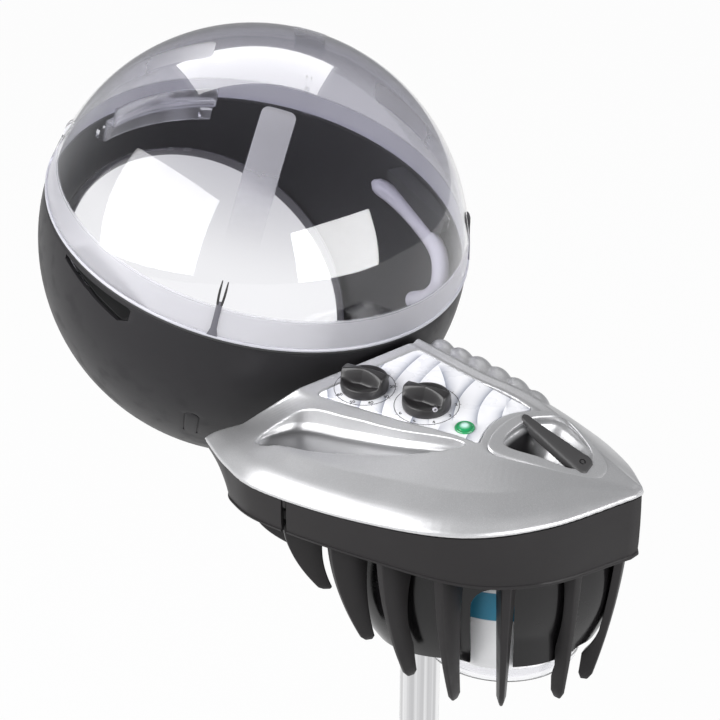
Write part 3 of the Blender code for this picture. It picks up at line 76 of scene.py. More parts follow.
class Steps:
    """Short words for the steps in a node tree."""

    def __init__(self, tree):
        self.tree = tree

    def put(self, node, inputs):
        """Set each named input to a value, or feed it from another socket."""
        for key, value in inputs.items():
            if isinstance(value, bpy.types.NodeSocket):
                self.tree.links.new(value, node.inputs[key])
            else:
                node.inputs[key].default_value = value

    def node(self, kind, inputs=None, **settings):
        made = self.tree.nodes.new("ShaderNode" + kind)
        for key, value in settings.items():
            setattr(made, key, value)
        self.put(made, inputs or {})
        return made

    def reckon(self, operation, first, second=0.0):
        return self.node("Math", {0: first, 1: second}, operation=operation).outputs[0]

    def plus(self, first, second):
        return self.reckon('ADD', first, second)

    def minus(self, first, second):
        return self.reckon('SUBTRACT', first, second)

    def times(self, first, second):
        return self.reckon('MULTIPLY', first, second)

    def larger(self, first, second):
        return self.reckon('MAXIMUM', first, second)

    def length(self, first, second):
        return self.reckon('SQRT', self.plus(self.times(first, first), self.times(second, second)))

    def bend(self, value, low, high, out_low=0.0, out_high=1.0):
        """Soft step of a value between two levels."""
        levels = dict(enumerate((value, low, high, out_low, out_high)))
        return self.node("MapRange", levels, interpolation_type='SMOOTHSTEP').outputs[0]

    def within(self, value, rise, fall):
        return self.times(self.bend(value, *rise), self.bend(value, *fall))

    def place(self, at=(0, 0, 0), turn=(0, 0, 0)):
        """Place on the piece, read from a frame set at a spot (mm) and turned (radians)."""
        spot = {"Vector": self.node("TexCoord").outputs["Object"], "Location": Vector(at) * MM, "Rotation": turn}
        return self.node("Mapping", spot, vector_type='TEXTURE').outputs["Vector"]

    def axes(self, place):
        return self.node("SeparateXYZ", {0: place}).outputs

    def noise(self, place, scale, detail=2.0):
        return self.node("TexNoise", {"Vector": place, "Scale": scale, "Detail": detail}).outputs["Fac"]

    def blend(self, share, first, second):
        """Colour between two, by a share."""
        first, second = ((*tone, 1) if isinstance(tone, tuple) else tone for tone in (first, second))
        return self.node("Mix", {0: share, 6: first, 7: second}, data_type='RGBA').outputs[2]

    def roughen(self, shader, grain, strength, depth):
        bump = self.node("Bump", {"Strength": strength, "Distance": depth, "Height": grain})
        self.put(shader, {"Normal": bump.outputs["Normal"]})

    def end(self, share, first, second):
        """One shader or another, by a share, as the end of the tree."""
        both = self.node("MixShader", {0: share, 1: first.outputs[0], 2: second.outputs[0]})
        self.put(self.tree.nodes["Material Output"], {"Surface": both.outputs[0]})


def new_finish(name):
    """Material, the steps in its tree and its main shader."""
    finish = bpy.data.materials.new(name)
    finish.use_nodes = True
    return finish, Steps(finish.node_tree), finish.node_tree.nodes["Principled BSDF"]


# %% [markdown]
# A pale studio: one wide floor and a soft world. The camera sees both as white, and reflections and clear plastic see
# the floor so too. The floor still receives light, so a faint shadow stays.

# %% Floor and world
PAPER_SIZE = 12.0
PAPER_LEVEL = -0.0005
PAPER_TONE = (0.55, 0.55, 0.56, 1)
PAPER_GLOW = 0.97
WORLD_RISE = {"From Min": -0.1, "From Max": 0.9, "To Min": 0.42, "To Max": 0.26}
WORLD_TINT = (0.97, 0.98, 1.0, 1)

bpy.context.scene.view_settings.view_transform = 'Standard'
bpy.ops.object.select_all(action='DESELECT')
bpy.ops.mesh.primitive_plane_add(size=PAPER_SIZE, location=(0, 0, PAPER_LEVEL))
floor = bpy.context.object
floor.name = "studio_floor"
floor_finish, do, shader = new_finish("studio_white")
do.tree.nodes.remove(shader)
ray = do.node("LightPath").outputs
seen = do.larger(do.larger(ray["Is Camera Ray"], ray["Is Glossy Ray"]), ray["Is Transmission Ray"])
do.end(do.times(seen, PAPER_GLOW), do.node("BsdfDiffuse", {"Color": PAPER_TONE}), do.node("Emission"))
floor.data.materials.append(floor_finish)

world = bpy.data.worlds.new("studio_world")
world.use_nodes = True
bpy.context.scene.world = world
do = Steps(world.node_tree)
height = do.axes(do.node("TexCoord").outputs["Generated"])["Z"]
rise = do.node("MapRange", {"Value": height, **WORLD_RISE}).outputs[0]
strength = do.larger(rise, do.node("LightPath").outputs["Is Camera Ray"])
do.put(do.tree.nodes["Background"], {"Color": WORLD_TINT, "Strength": strength})
print("studio", floor.name, world.name)

# %% [markdown]
# Three large soft lamps light it. The lamp on the left is the key: the silver flank mirrors it toward the camera, and
# the top, which mirrors the dimmer back, stays a tone darker. The one in front lights the dark casing and the nose, and
# the one above and behind fills the top a little.

# %% Lamps
LAMPS = (("left_softbox", (-1.55, 0.25, 1.08), (1.8, 1.35), 44.0),
         ("front_softbox", (0.2, -1.9, 0.8), (1.75, 1.0), 37.0),
         ("back_softbox", (0.5, 0.8, 1.9), (1.5, 1.0), 2.5))
AIM = Vector((0.0, 0.05, 0.4))


def softbox(name, place, size, watts):
    """Rectangular lamp that looks at the middle of the object."""
    facing = (AIM - Vector(place)).to_track_quat('-Z', 'Y').to_euler()
    bpy.ops.object.light_add(type='AREA', location=place, rotation=facing)
    lamp = bpy.context.object
    lamp.name = name
    lamp.data.shape = 'RECTANGLE'
    lamp.data.size, lamp.data.size_y = size
    lamp.data.energy = watts
    return lamp


print("lamps", [softbox(*row).name for row in LAMPS])

# %% [markdown]
# The body is sprayed satin silver. Metallic paint is a base with fine flakes, so tone and gloss vary on the scale of
# the flakes, and a thin clear coat lies over it. Deep on the near side of the handle hole, painted shade darkens the
# paint nearly to black. On the floor of the tray, painted shade darkens the paint, more toward the hood. Both are
# masks by place.

# %% Silver paint
NOSE_SLOPE = (0.157, 0.543)
NOSE_LEVEL = 0.43998
HOLE_DEEP = (-0.003, -0.010)
HOLE_X = ((-0.030, -0.028), (0.016, 0.002))
HOLE_Y = ((-0.168, -0.166), (-0.1145, -0.1165))
TRAY_TIPS = (Vector((-0.155, 0.028)), Vector((-0.051, -0.103)))
TRAY_BULGE = 0.0235
TRAY_RIM = (-0.001, 0.001)
TRAY_FAR_SIDE = (-0.042, -0.040)
TRAY_PLANE = (-0.055, 0.3552)
TRAY_LOW = (0.0045, 0.0012)
TRAY_TIP = (0.02, 0.06)
TRAY_FADE = (0.15, 0.75, 0.80, 0.30)
SILVER_TONES = ((0.50, 0.50, 0.51), (0.55, 0.55, 0.56))
SILVER_GLINT = (0.68, 0.68, 0.69)
TRAY_PAINTED_SHADE = (0.12, 0.12, 0.124)
HOLE_PAINTED_SHADE = (0.035, 0.034, 0.036)


def hole_shade(do, place):
    """Share of painted shade: deep under the nose's plane, on the near side of the handle hole."""
    x, y, z = do.axes(place)
    plane = do.plus(do.times(x, NOSE_SLOPE[0]), do.times(y, NOSE_SLOPE[1]))
    deep = do.bend(do.minus(do.minus(z, plane), NOSE_LEVEL), *HOLE_DEEP)
    return do.times(deep, do.times(do.within(x, *HOLE_X), do.within(y, *HOLE_Y)))


def tray_shade(do, place):
    """Share of painted shade: low in the tray, inside its outline, fading from the hood's end to the nose's."""
    x, y, z = do.axes(place)
    chord = TRAY_TIPS[1] - TRAY_TIPS[0]
    along, across = chord.normalized(), Vector((chord.y, -chord.x)).normalized()
    share, aside = 0.0, 0.0
    for value, start, ahead, beside in zip((x, y), TRAY_TIPS[0], along / chord.length, across):
        away = do.minus(value, start)
        share = do.plus(share, do.times(away, ahead))
        aside = do.plus(aside, do.times(away, beside))
    arch = do.times(share, do.minus(1.0, share))
    room = do.minus(do.times(arch, 4 * TRAY_BULGE), aside)
    inside = do.times(do.bend(room, *TRAY_RIM), do.bend(aside, *TRAY_FAR_SIDE))
    rise = do.minus(do.minus(z, do.times(y, TRAY_PLANE[0])), TRAY_PLANE[1])
    low = do.times(do.bend(rise, *TRAY_LOW), do.bend(share, *TRAY_TIP))
    return do.times(do.times(inside, low), do.bend(share, *TRAY_FADE))


silver, do, shader = new_finish("satin_silver_paint")
place = do.place()
flake = do.noise(place, 3200.0, 0.0)
paint = do.blend(do.noise(place, 8.0), *SILVER_TONES)
paint = do.blend(do.bend(flake, 0.55, 0.75), paint, SILVER_GLINT)
# Painted shade: the tray's floor is darkened, most toward the hood.
paint = do.blend(tray_shade(do, place), paint, TRAY_PAINTED_SHADE)
# Painted shade: deep on the near side of the handle hole the paint is darkened nearly to black.
do.put(shader, {"Base Color": do.blend(hole_shade(do, place), paint, HOLE_PAINTED_SHADE),
                "Roughness": do.bend(do.noise(place, 30.0, 4.0), 0.4, 0.8, 0.35, 0.42),
                "Metallic": 0.68, "Coat Weight": 0.12, "Coat Roughness": 0.25})
do.roughen(shader, flake, 0.05, 0.0002)
print("finish", silver.name)

# %% [markdown]
# Dark casing, glossy dark, grey moulding, rubber and bare metals all come from one moulding recipe with other numbers.

# %% Plain finishes
TONE_SCALE = 11.0
WEAR_SCALE = 46.0


def moulded(name, colour, roughness, drift=0.1, grain=1600.0, bump=0.12, metallic=0.0, shine=0.5):
    """Moulded, cast or painted finish: tone drifts, handling dulls it in patches, fine grain stands up."""
    finish, do, shader = new_finish(name)
    place = do.place()
    darker, lighter = (tuple(part * change for part in colour) for change in (1 - drift, 1 + drift))
    wear = do.noise(place, WEAR_SCALE, 4.0)
    do.put(shader, {"Base Color": do.blend(do.noise(place, TONE_SCALE, 3.0), darker, lighter),
                    "Roughness": do.bend(wear, 0.45, 0.75, roughness - 0.03, roughness + 0.09),
                    "Metallic": metallic, "Specular IOR Level": shine})
    do.roughen(shader, do.noise(place, grain, 1.0), bump, 0.0003)
    return finish


dark_casing = moulded("dark_casing_grained", (0.0172, 0.016, 0.0166), 0.42, bump=0.2, shine=0.2)
dark_gloss = moulded("dark_casing_smooth", (0.0075, 0.007, 0.0075), 0.2, bump=0.05, shine=0.4)
bowl_dark = moulded("bowl_matt", (0.0165, 0.0158, 0.0175), 0.46, bump=0.15, shine=0.2)
knob_black = moulded("knob_black", (0.019, 0.018, 0.019), 0.34, bump=0.08)
grey_moulding = moulded("grey_moulding_satin", (0.42, 0.41, 0.45), 0.4)
rubber_black = moulded("rubber_matt", (0.02, 0.02, 0.021), 0.7, bump=0.3)
cast_alloy = moulded("cast_alloy_dull", (0.36, 0.36, 0.37), 0.5, grain=700.0, bump=0.35, metallic=0.8)
steel_bright = moulded("steel_bright", (0.62, 0.62, 0.63), 0.22, bump=0.05, metallic=1.0)
board_green = moulded("board_green", (0.03, 0.16, 0.07), 0.5, drift=0.2)
print("plain finishes made")

# %% [markdown]
# Operators act on whatever is selected, and the loaded model is selected at first. These helpers take one object
# in hand, add a primitive, apply a modifier and cut one piece by another.

# %% Helpers for modelling


def only(piece=None):
    """Leave edit mode and hold one object alone, or none."""
    if bpy.context.mode != 'OBJECT':
        bpy.ops.object.mode_set(mode='OBJECT')
    bpy.ops.object.select_all(action='DESELECT')
    if piece is not None:
        piece.select_set(True)
        bpy.context.view_layer.objects.active = piece


def edit(piece):
    only(piece)
    bpy.ops.object.mode_set(mode='EDIT')
    bpy.ops.mesh.select_all(action='SELECT')


def add(operator, **settings):
    """New mesh made by an operator, with its place and size applied."""
    only()
    operator(calc_uvs=False, **settings)
    bpy.ops.object.transform_apply(location=True, rotation=True, scale=True)
    return bpy.context.object


def modify(piece, kind, **settings):
    only(piece)
    change = piece.modifiers.new(kind.lower(), kind)
    for key, value in settings.items():
        setattr(change, key, value)
    bpy.ops.object.modifier_apply(modifier=change.name)


def carve(piece, tool, operation='DIFFERENCE'):
    modify(piece, 'BOOLEAN', operation=operation, object=tool, solver='EXACT')
    bpy.data.objects.remove(tool, do_unlink=True)


def round_edges(piece, width, segments=2, angle=45):
    modify(piece, 'BEVEL', width=width * MM, segments=segments, limit_method='ANGLE', angle_limit=radians(angle))


def join(first, *others):
    only(first)
    for other in others:
        other.select_set(True)
    bpy.ops.object.join()
    return first


def place_in(piece, axes):
    """Carry a mesh made in millimetres about the origin into a frame."""
    piece.data.transform(Matrix.Scale(MM, 4) @ axes)


def ready(piece, name, body, look, *nodes, slot, smooth=38):
    """Name a finished piece, give it its finish and let it ride."""
    only(piece)
    bpy.ops.object.transform_apply(location=True, rotation=True, scale=True)
    piece.name = name
    piece.data.name = name
    piece.data.materials.clear()
    piece.data.materials.append(look)
    bpy.ops.object.shade_smooth_by_angle(angle=radians(smooth))
    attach(piece, body)
    if nodes:
        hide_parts(*nodes)
    print(name, len(piece.data.polygons), "faces")


# %% [markdown]
# Most forms are skins over rings of points. A grid is pulled over the rings, its seam is merged and its ends are
# filled. A turned piece is the same with round rings.

# %% Skins


def skin(rows):
    """Grid pulled over rows of points given in millimetres."""
    across, along = len(rows[0]) - 1, len(rows) - 1
    made = add(bpy.ops.mesh.primitive_grid_add, x_subdivisions=across, y_subdivisions=along, size=1.0)
    for vertex in made.data.vertices:
        column = round((vertex.co.x + 0.5) * across)
        row = round((vertex.co.y + 0.5) * along)
        vertex.co = Vector(rows[row][column]) * MM
    return made


def close(piece, caps=True):
    """Merge seams, fill open ends and turn the faces outward."""
    edit(piece)
    bpy.ops.mesh.remove_doubles(threshold=0.000002)
    if caps:
        bpy.ops.mesh.fill_holes(sides=0)
    bpy.ops.mesh.normals_make_consistent(inside=False)
    only(piece)
    return piece


def tube(rings, caps=True):
    """Closed skin over rings of points."""
    return close(skin([list(ring) + [ring[0]] for ring in rings]), caps)


def full_turn(sides):
    return [2 * pi * k / sides for k in range(sides)]


def lathe(axes, profile, sides, ring=False):
    """Turned piece from (radius, level) pairs; a ring's profile closes on itself."""
    rows = [[axes @ Vector((radius * cos(a), radius * sin(a), level)) for a in full_turn(sides)]
            for radius, level in profile]
    if ring:
        rows.append(rows[0])
    return tube(rows, caps=not ring)


def sweep(path, radius, sides=8):
    """Round rings along a path, carried without twist."""
    rings = []
    tangent = (path[1] - path[0]).normalized()
    across = tangent.orthogonal().normalized()
    for k, point in enumerate(path):
        heading = (path[min(k + 1, len(path) - 1)] - path[max(k - 1, 0)]).normalized()
        across = (tangent.rotation_difference(heading) @ across).normalized()
        tangent = heading
        other = tangent.cross(across)
        rings.append([point + (across * cos(a) + other * sin(a)) * radius for a in full_turn(sides)])
    return rings


# %% [markdown]
# Many outlines on the body are smooth curves through a few points, or straight runs with eased corners. Both are
# drawn here once.

# %% Curves


def between(p0, p1, p2, p3, t):
    """Point on a smooth curve from the second to the third of four points."""
    return 0.5 * (2 * p1 + (p2 - p0) * t + (2 * p0 - 5 * p1 + 4 * p2 - p3) * t ** 2
                  + (3 * p1 - p0 - 3 * p2 + p3) * t ** 3)


def spline(points, share):
    """Point at a share of the way along a smooth curve through the points."""
    spot = share * (len(points) - 1)
    k = min(int(spot), len(points) - 2)
    p1, p2 = Vector(points[k]), Vector(points[k + 1])
    p0 = Vector(points[k - 1]) if k > 0 else 2 * p1 - p2
    p3 = Vector(points[k + 2]) if k + 2 < len(points) else 2 * p2 - p1
    return between(p0, p1, p2, p3, spot - k)


def run(points, steps):
    return [spline(points, k / steps) for k in range(steps + 1)]


def loop_through(points, per_span):
    """Smooth closed curve through the points."""
    found = []
    for k in range(len(points)):
        four = [Vector(points[(k + step) % len(points)]) for step in (-1, 0, 1, 2)]
        found += [between(*four, part / per_span) for part in range(per_span)]
    return found


def eased(points, reaches, steps=4):
    """Open run of straight lines with each inner corner eased over its reach."""
    found = [points[0]]
    for k in range(1, len(points) - 1):
        before, corner, after = points[k - 1:k + 2]
        reach = min(reaches[k - 1], 0.46 * (before - corner).length, 0.46 * (after - corner).length)
        start = corner + (before - corner).normalized() * reach
        stop = corner + (after - corner).normalized() * reach
        for t in (s / steps for s in range(steps + 1)):
            found.append(start.lerp(corner, t).lerp(corner.lerp(stop, t), t))
    return found + [points[-1]]


def shrink(points, distance):
    """Move each point of a closed plan outline inward."""
    area = sum(a.x * b.y - b.x * a.y for a, b in zip(points, points[1:] + points[:1]))
    side = 1.0 if area > 0 else -1.0
    moved = []
    for k in range(len(points)):
        before = (points[k] - points[k - 1]).normalized()
        after = (points[(k + 1) % len(points)] - points[k]).normalized()
        first, second = (Vector((-step.y, step.x)) * side for step in (before, after))
        middle = (first + second).normalized()
        moved.append(points[k] + middle * (distance / max(middle.dot(first), 0.5)))
    return moved


def soft_step(value):
    t = min(max(value, 0.0), 1.0)
    return t * t * (3 - 2 * t)


# %% [markdown]
# The hood is one near-full ball. Its lower part is a dark matt bowl, cut at the top by the dome's rim and at the
# bottom by the slanting mouth. A ball cut by two planes gives exactly that, and a wall is added after the cuts so
# that both edges are square to the skin. The finger wedges under the rim are cut last.

# %% Hood bowl
HOOD_AT = Vector((0.0, 233.0, 435.0))
HOOD_RADIUS = 195.0
HOOD_LEAN = radians(20.6)
HOOD_SIDES = 144
HOOD_RINGS = 96
MOUTH_LEAN = radians(28.4)
MOUTH_LEVEL = -119.0
BOWL_TOP = 28.5
BOWL_WALL = 3.5
HOLD_WEDGE = ((16.0, 25.0), (16.0, 21.0), (-58.0, 7.5), (-68.0, 13.5), (-68.0, 25.0))
HOLD_SPAN = (151.0, 220.0)
hood_axes = Matrix.Translation(HOOD_AT) @ Matrix.Rotation(HOOD_LEAN, 4, 'X')
mouth_axes = hood_axes @ Matrix.Rotation(MOUTH_LEAN, 4, 'X')


def on_hood(turn, level, radius):
    """Point on a ball round the hood's centre, turned from the body's side to +X (degrees)."""
    across = sqrt(radius ** 2 - level ** 2)
    return hood_axes @ Vector((across * sin(radians(turn)), -across * cos(radians(turn)), level))


def hood_ball():
    return add(bpy.ops.mesh.primitive_uv_sphere_add, segments=HOOD_SIDES, ring_count=HOOD_RINGS,
               radius=HOOD_RADIUS * MM, location=HOOD_AT * MM, rotation=(HOOD_LEAN, 0, 0))


def keep(piece, axes, level, side):
    """Cut a piece at a level in a frame and keep what lies above (1) or below (-1)."""
    edit(piece)
    normal = (axes.to_3x3() @ Vector((0, 0, side))).normalized()
    bpy.ops.mesh.bisect(plane_co=axes @ Vector((0, 0, level)) * MM, plane_no=normal, clear_inner=True)
    only(piece)


bowl = hood_ball()
keep(bowl, hood_axes, BOWL_TOP, -1)
keep(bowl, mouth_axes, MOUTH_LEVEL, 1)
modify(bowl, 'SOLIDIFY', thickness=BOWL_WALL * MM, offset=-1.0)
for side in (-1, 1):
    carve(bowl, tube([[hood_axes @ Vector((side * x, y, z)) for y, z in HOLD_WEDGE] for x in HOLD_SPAN]))
print("bowl", len(bowl.data.polygons), "faces")

# %% [markdown]
# On the near side of the bowl a small arch is engraved. A thin bent tube laid on the skin and cut out of it leaves
# such a line.

# %% Engraved arch on the bowl
ARCH_TURN = -48.7
ARCH_HALF_TURN = 2.0
ARCH_LEVELS = (-94.0, -66.0, -61.0)
ARCH_LINE = 0.7

low, shoulder, top = ARCH_LEVELS
arch = [(-1, low + (shoulder - low) * k / 6) for k in range(6)]
arch += [(-cos(a), shoulder + (top - shoulder) * sin(a)) for a in (pi * k / 8 for k in range(9))]
arch += [(1, shoulder + (low - shoulder) * k / 6) for k in range(1, 7)]
path = [on_hood(ARCH_TURN + ARCH_HALF_TURN * swing, level, HOOD_RADIUS) for swing, level in arch]
carve(bowl, tube(sweep(path, ARCH_LINE)))
print("arch of", len(path), "points")

# %% [markdown]
# Steam comes in at the back of the bowl through a collar of the part. The bowl has a round hole for it, a little wider
# than the collar, so that the duct from the body has room in it at every tilt.

# %% Steam inlet hole
INLET_HOLE = 17.1
INLET_REACH = 25.0
INLET_TILT = radians(17.6)
low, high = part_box("steam_inlet")
spot = (low + high) / 2 / MM
along = Vector((0, cos(INLET_TILT), sin(INLET_TILT))) * INLET_REACH
carve(bowl, tube(sweep([spot - along, spot + along], INLET_HOLE, 48)))
print("inlet at", [round(part, 1) for part in spot])
round_edges(bowl, 0.7, angle=55)
ready(bowl, "hood_bowl", "hood", bowl_dark, "hood_shell", slot="dark_casing")

# %% [markdown]
# The dome is the same ball above the rim, blown from clear plastic whose smoky lavender tint deepens toward the crown.
# Moulders frost it where it is handled: a band along the rim and four radial strips that lead to the clips. Tint and
# frosting are masks read from the place on the dome. Lamp light passes straight through, so the inside of the hood
# is lit.

# %% Clear plastic
SMOKE_LEVELS = (0.078, 0.165)
SMOKE_TINT = (0.545, 0.54, 0.59)
FROST_TINT = (0.31, 0.306, 0.336)
FROST_ROUGH = 0.42
FROST_CLEAR = 0.55
SHADOW_TINT = (0.93, 0.93, 0.96, 1)


def clear_plastic(name, tint, frosted=None, smoky=False):
    """Clear moulding; frosted is a function that gives the share of frosting by place, or None."""
    finish, do, shader = new_finish(name)
    place = do.place(HOOD_AT, (HOOD_LEAN, 0, 0))
    smear = do.bend(do.noise(place, 60.0, 3.0), 0.5, 0.8, 0.02, 0.06)
    tone = do.blend(do.noise(place, 12.0, 3.0), tint, tuple(min(1.0, part * 1.03) for part in tint))
    clear = 1.0
    if frosted is not None:
        frost = frosted(do, place)
        if smoky:
            tone = do.blend(do.bend(do.axes(place)["Z"], *SMOKE_LEVELS), tone, SMOKE_TINT)
        tone = do.blend(frost, tone, FROST_TINT if smoky else tint)
        smear = do.plus(smear, do.times(frost, FROST_ROUGH))
        clear = do.bend(frost, 0.0, 1.0, 1.0, FROST_CLEAR)
    do.put(shader, {"Base Color": tone, "Roughness": smear, "Transmission Weight": clear, "IOR": 1.46})
    through = do.node("BsdfTransparent", {"Color": SHADOW_TINT})
    do.end(do.node("LightPath").outputs["Is Shadow Ray"], shader, through)
    return finish


# %% Frosting of the dome
FROST_BAND = (0.058, 0.056)
FROST_SHARES = (0.62, 0.85)
STRIP_TURN = radians(46.5)
STRIP_HALF = 0.0145
STRIP_START = 0.070
STRIP_CORNER = 0.006
STRIP_EASE = 0.0006
STRIP_FADE = (0.100, 0.180)


def dome_frost(do, place):
    """Rim band and four radial strips."""
    x, y, z = do.axes(place)
    ax, ay = (do.reckon('ABSOLUTE', value) for value in (x, y))
    off = do.minus(do.times(ax, cos(STRIP_TURN)), do.times(ay, sin(STRIP_TURN)))
    out = do.plus(do.times(ax, sin(STRIP_TURN)), do.times(ay, cos(STRIP_TURN)))
    short = do.larger(do.minus(STRIP_START + STRIP_CORNER, out), 0.0)
    aside = do.larger(do.minus(do.reckon('ABSOLUTE', off), STRIP_HALF - STRIP_CORNER), 0.0)
    strip = do.bend(do.length(aside, short), STRIP_CORNER + STRIP_EASE, STRIP_CORNER - STRIP_EASE)
    strip = do.times(strip, do.bend(z, *STRIP_FADE))
    return do.larger(do.times(do.bend(z, *FROST_BAND), FROST_SHARES[0]), do.times(strip, FROST_SHARES[1]))


def guard_haze(do, place):
    """Steam leaves a thin even haze on the guard."""
    return do.bend(do.noise(place, 30.0), 0.3, 0.7, 0.16, 0.34)


dome_clear = clear_plastic("dome_clear", (0.91, 0.91, 0.935), dome_frost, smoky=True)
part_clear = clear_plastic("part_clear", (0.95, 0.95, 0.97))
guard_clear = clear_plastic("guard_clear", (0.97, 0.97, 0.99), guard_haze)
print("finishes", dome_clear.name, part_clear.name, guard_clear.name)

# %% Dome
DOME_LOW = 31.5
DOME_WALL = 3.0
dome = hood_ball()
keep(dome, hood_axes, DOME_LOW, 1)
modify(dome, 'SOLIDIFY', thickness=DOME_WALL * MM, offset=-1.0)
round_edges(dome, 0.6, angle=55)
ready(dome, "clear_dome", "hood", dome_clear, "visor_dome", slot="clear_plastic")

# %% [markdown]
# A photographer hangs two more soft lamps for the dome and flags them off from everything else, so that only the clear
# plastic mirrors them. Light linking is the flag: the receivers of both lamps are a collection with the dome alone.

# %% Dome lamps
DOME_LAMPS = (("dome_top_softbox", (0.48, 0.77, 1.84), (1.35, 0.87), 26.0),
              ("dome_front_softbox", (0.19, -1.8, 0.78), (1.66, 0.95), 46.0))
receivers = bpy.data.collections.new("dome_lamp_receivers")
receivers.objects.link(dome)
for row in DOME_LAMPS:
    lamp = softbox(*row)
    lamp.visible_diffuse = False
    lamp.visible_transmission = False
    lamp.light_linking.receiver_collection = receivers

# %% [markdown]
# Between dome and bowl runs a soft black seal, and the dome's rim carries a thin pale lip. Both are turned rings
# about the hood's axis, so a small profile is carried round once.

# %% Seal and rim lip
RIM_LEVEL = 30.0
RIM_RADIUS = sqrt(HOOD_RADIUS ** 2 - RIM_LEVEL ** 2)
SEAL_PROFILE = ((0.2, 28.8), (0.7, 29.4), (0.7, 30.4), (0.2, 31.2), (-4.2, 31.2), (-4.2, 28.8))
LIP_PROFILE = ((-0.3, 31.6), (1.0, 31.9), (1.1, 33.2), (0.4, 34.2), (-0.6, 34.2))
rim_pale = moulded("rim_pale", (0.44, 0.44, 0.48), 0.35)
seal, lip = (lathe(hood_axes, [(RIM_RADIUS + out, level) for out, level in profile], HOOD_SIDES, ring=True)
             for profile in (SEAL_PROFILE, LIP_PROFILE))
ready(seal, "rim_seal", "hood", rubber_black, "visor_seal", slot="black_rubber")
ready(lip, "rim_lip", "hood", rim_pale, slot="clear_plastic")

# %% [markdown]
# Four clips hold the dome down. Each is a slim strap that flares at its foot on the rim and splits into two springy
# prongs at the top. The strap and one prong are skinned over bent rings; the other prong mirrors it across the strap.
# The two clips by the body are grey and black, the two at the front are clear.

# %% Clips
CLIP_TURNS = (48.0, 132.0, 228.0, 312.0)
BODY_SIDE = (48.0, 312.0)
STRAP = ((33.5, 4.6, 1.2), (36.5, 3.6, 1.1), (40.0, 2.6, 0.9), (48.0, 2.4, 0.8), (63.0, 2.5, 0.9))
PRONG = ((60.0, 0.7, 2.6, 0.9), (63.0, 1.0, 3.0, 1.1), (68.0, 1.4, 3.3, 1.7), (73.0, 1.6, 3.3, 2.6),
         (77.5, 1.8, 3.0, 2.0), (79.5, 2.0, 2.7, 1.0))
CLIP_LIFT = 0.4
clip_grey = moulded("clip_grey", (0.10, 0.098, 0.115), 0.34)


def clip_ring(turn, level, near, far, high):
    """Four corners of a strip lying on the dome from one side distance to another."""
    low = HOOD_RADIUS + CLIP_LIFT
    ring = []
    for radius, aside in ((low, near), (low + high, near), (low + high, far), (low, far)):
        swing = aside / radius * 180 / pi / max(0.2, sqrt(1 - (level / HOOD_RADIUS) ** 2))
        ring.append(on_hood(turn + swing, level * radius / HOOD_RADIUS, radius))
    return ring


for number, turn in enumerate(CLIP_TURNS, 1):
    strap = tube([clip_ring(turn, level, -half, half, high) for level, half, high in STRAP])
    prongs = [tube([clip_ring(turn, level, side * near, side * far, high) for level, near, far, high in PRONG])
              for side in (-1, 1)]
    for piece in (strap, *prongs):
        round_edges(piece, 0.3)
    grey, black = (clip_grey, knob_black) if turn in BODY_SIDE else (part_clear, part_clear)
    ready(strap, f"clip_strap_{number}", "hood", grey, slot="grey_moulding")
    ready(join(*prongs), f"clip_fork_{number}", "hood", black, f"dome_clip_{number}", slot="dark_casing")

# %% [markdown]
# Inside the hood a steam bar lies along each wall: a light grey tube with a rounded end, flattened where the steam
# slots are. Its rings follow a smooth route on a smaller ball. The slots are shallow cuts along its lower side.

# %% Steam bars
BAR_ROUTE = ((103, -5), (92, -5), (78, -5.5), (64, -4), (55, -17), (57, -40), (64, -62))
BAR_RIDE = 181.4
BAR_RADIUS = 8.8
BAR_FLAT = 0.72
BAR_STEPS = 40
BAR_SIDES = 24
SLOT_SHARES = (0.10, 0.17, 0.24, 0.31, 0.38)
SLOT_SIZE = (7.0, 1.8, 3.0)
SLOT_FACING = (0.6, -0.8)
hood_up = (hood_axes.to_3x3() @ Vector((0, 0, 1))).normalized()


def bar_frame(path, k):
    """Directions ahead, across and inward at a point of a bar's path."""
    ahead = (path[min(k + 1, BAR_STEPS)] - path[max(k - 1, 0)]).normalized()
    inward = (HOOD_AT - path[k]).normalized()
    return ahead, ahead.cross(inward).normalized(), inward


def steam_bar(side):
    path = run([on_hood(side * turn, level, BAR_RIDE) for turn, level in BAR_ROUTE], BAR_STEPS)
    rings = []
    for k, point in enumerate(path):
        ahead, across, inward = bar_frame(path, k)
        inward = across.cross(ahead).normalized()
        size = BAR_RADIUS * sqrt(max(0.02, 1 - (1 - min(1.0, (k + 0.15) / 3)) ** 2))
        rings.append([point + (across * cos(a) + inward * max(sin(a), -BAR_FLAT)) * size
                      for a in full_turn(BAR_SIDES)])
    bar = tube(rings)
    for k in (round(share * BAR_STEPS) for share in SLOT_SHARES):
        ahead, across, inward = bar_frame(path, k)
        spot = path[k] + (inward * SLOT_FACING[0] + hood_up * SLOT_FACING[1]).normalized() * BAR_RADIUS
        facing = Matrix((ahead, across, ahead.cross(across))).transposed().to_4x4()
        slot = add(bpy.ops.mesh.primitive_cube_add, size=1.0)
        place_in(slot, Matrix.Translation(spot) @ facing @ Matrix.Diagonal((*SLOT_SIZE, 1)))
        carve(bar, slot)
    round_edges(bar, 0.3, angle=60)
    return bar


for side, label in ((-1, "left"), (1, "right")):
    ready(steam_bar(side), f"steam_spreader_{label}", "hood", grey_moulding, f"steam_bar_{label}",
          slot="grey_moulding")

# %% [markdown]
# A gutter round the mouth catches water that condenses on the bowl, and a clear stepped guard at the front turns
# the steam back. The gutter is a turned ring; the guard is a short part of a turn with a stepped profile.

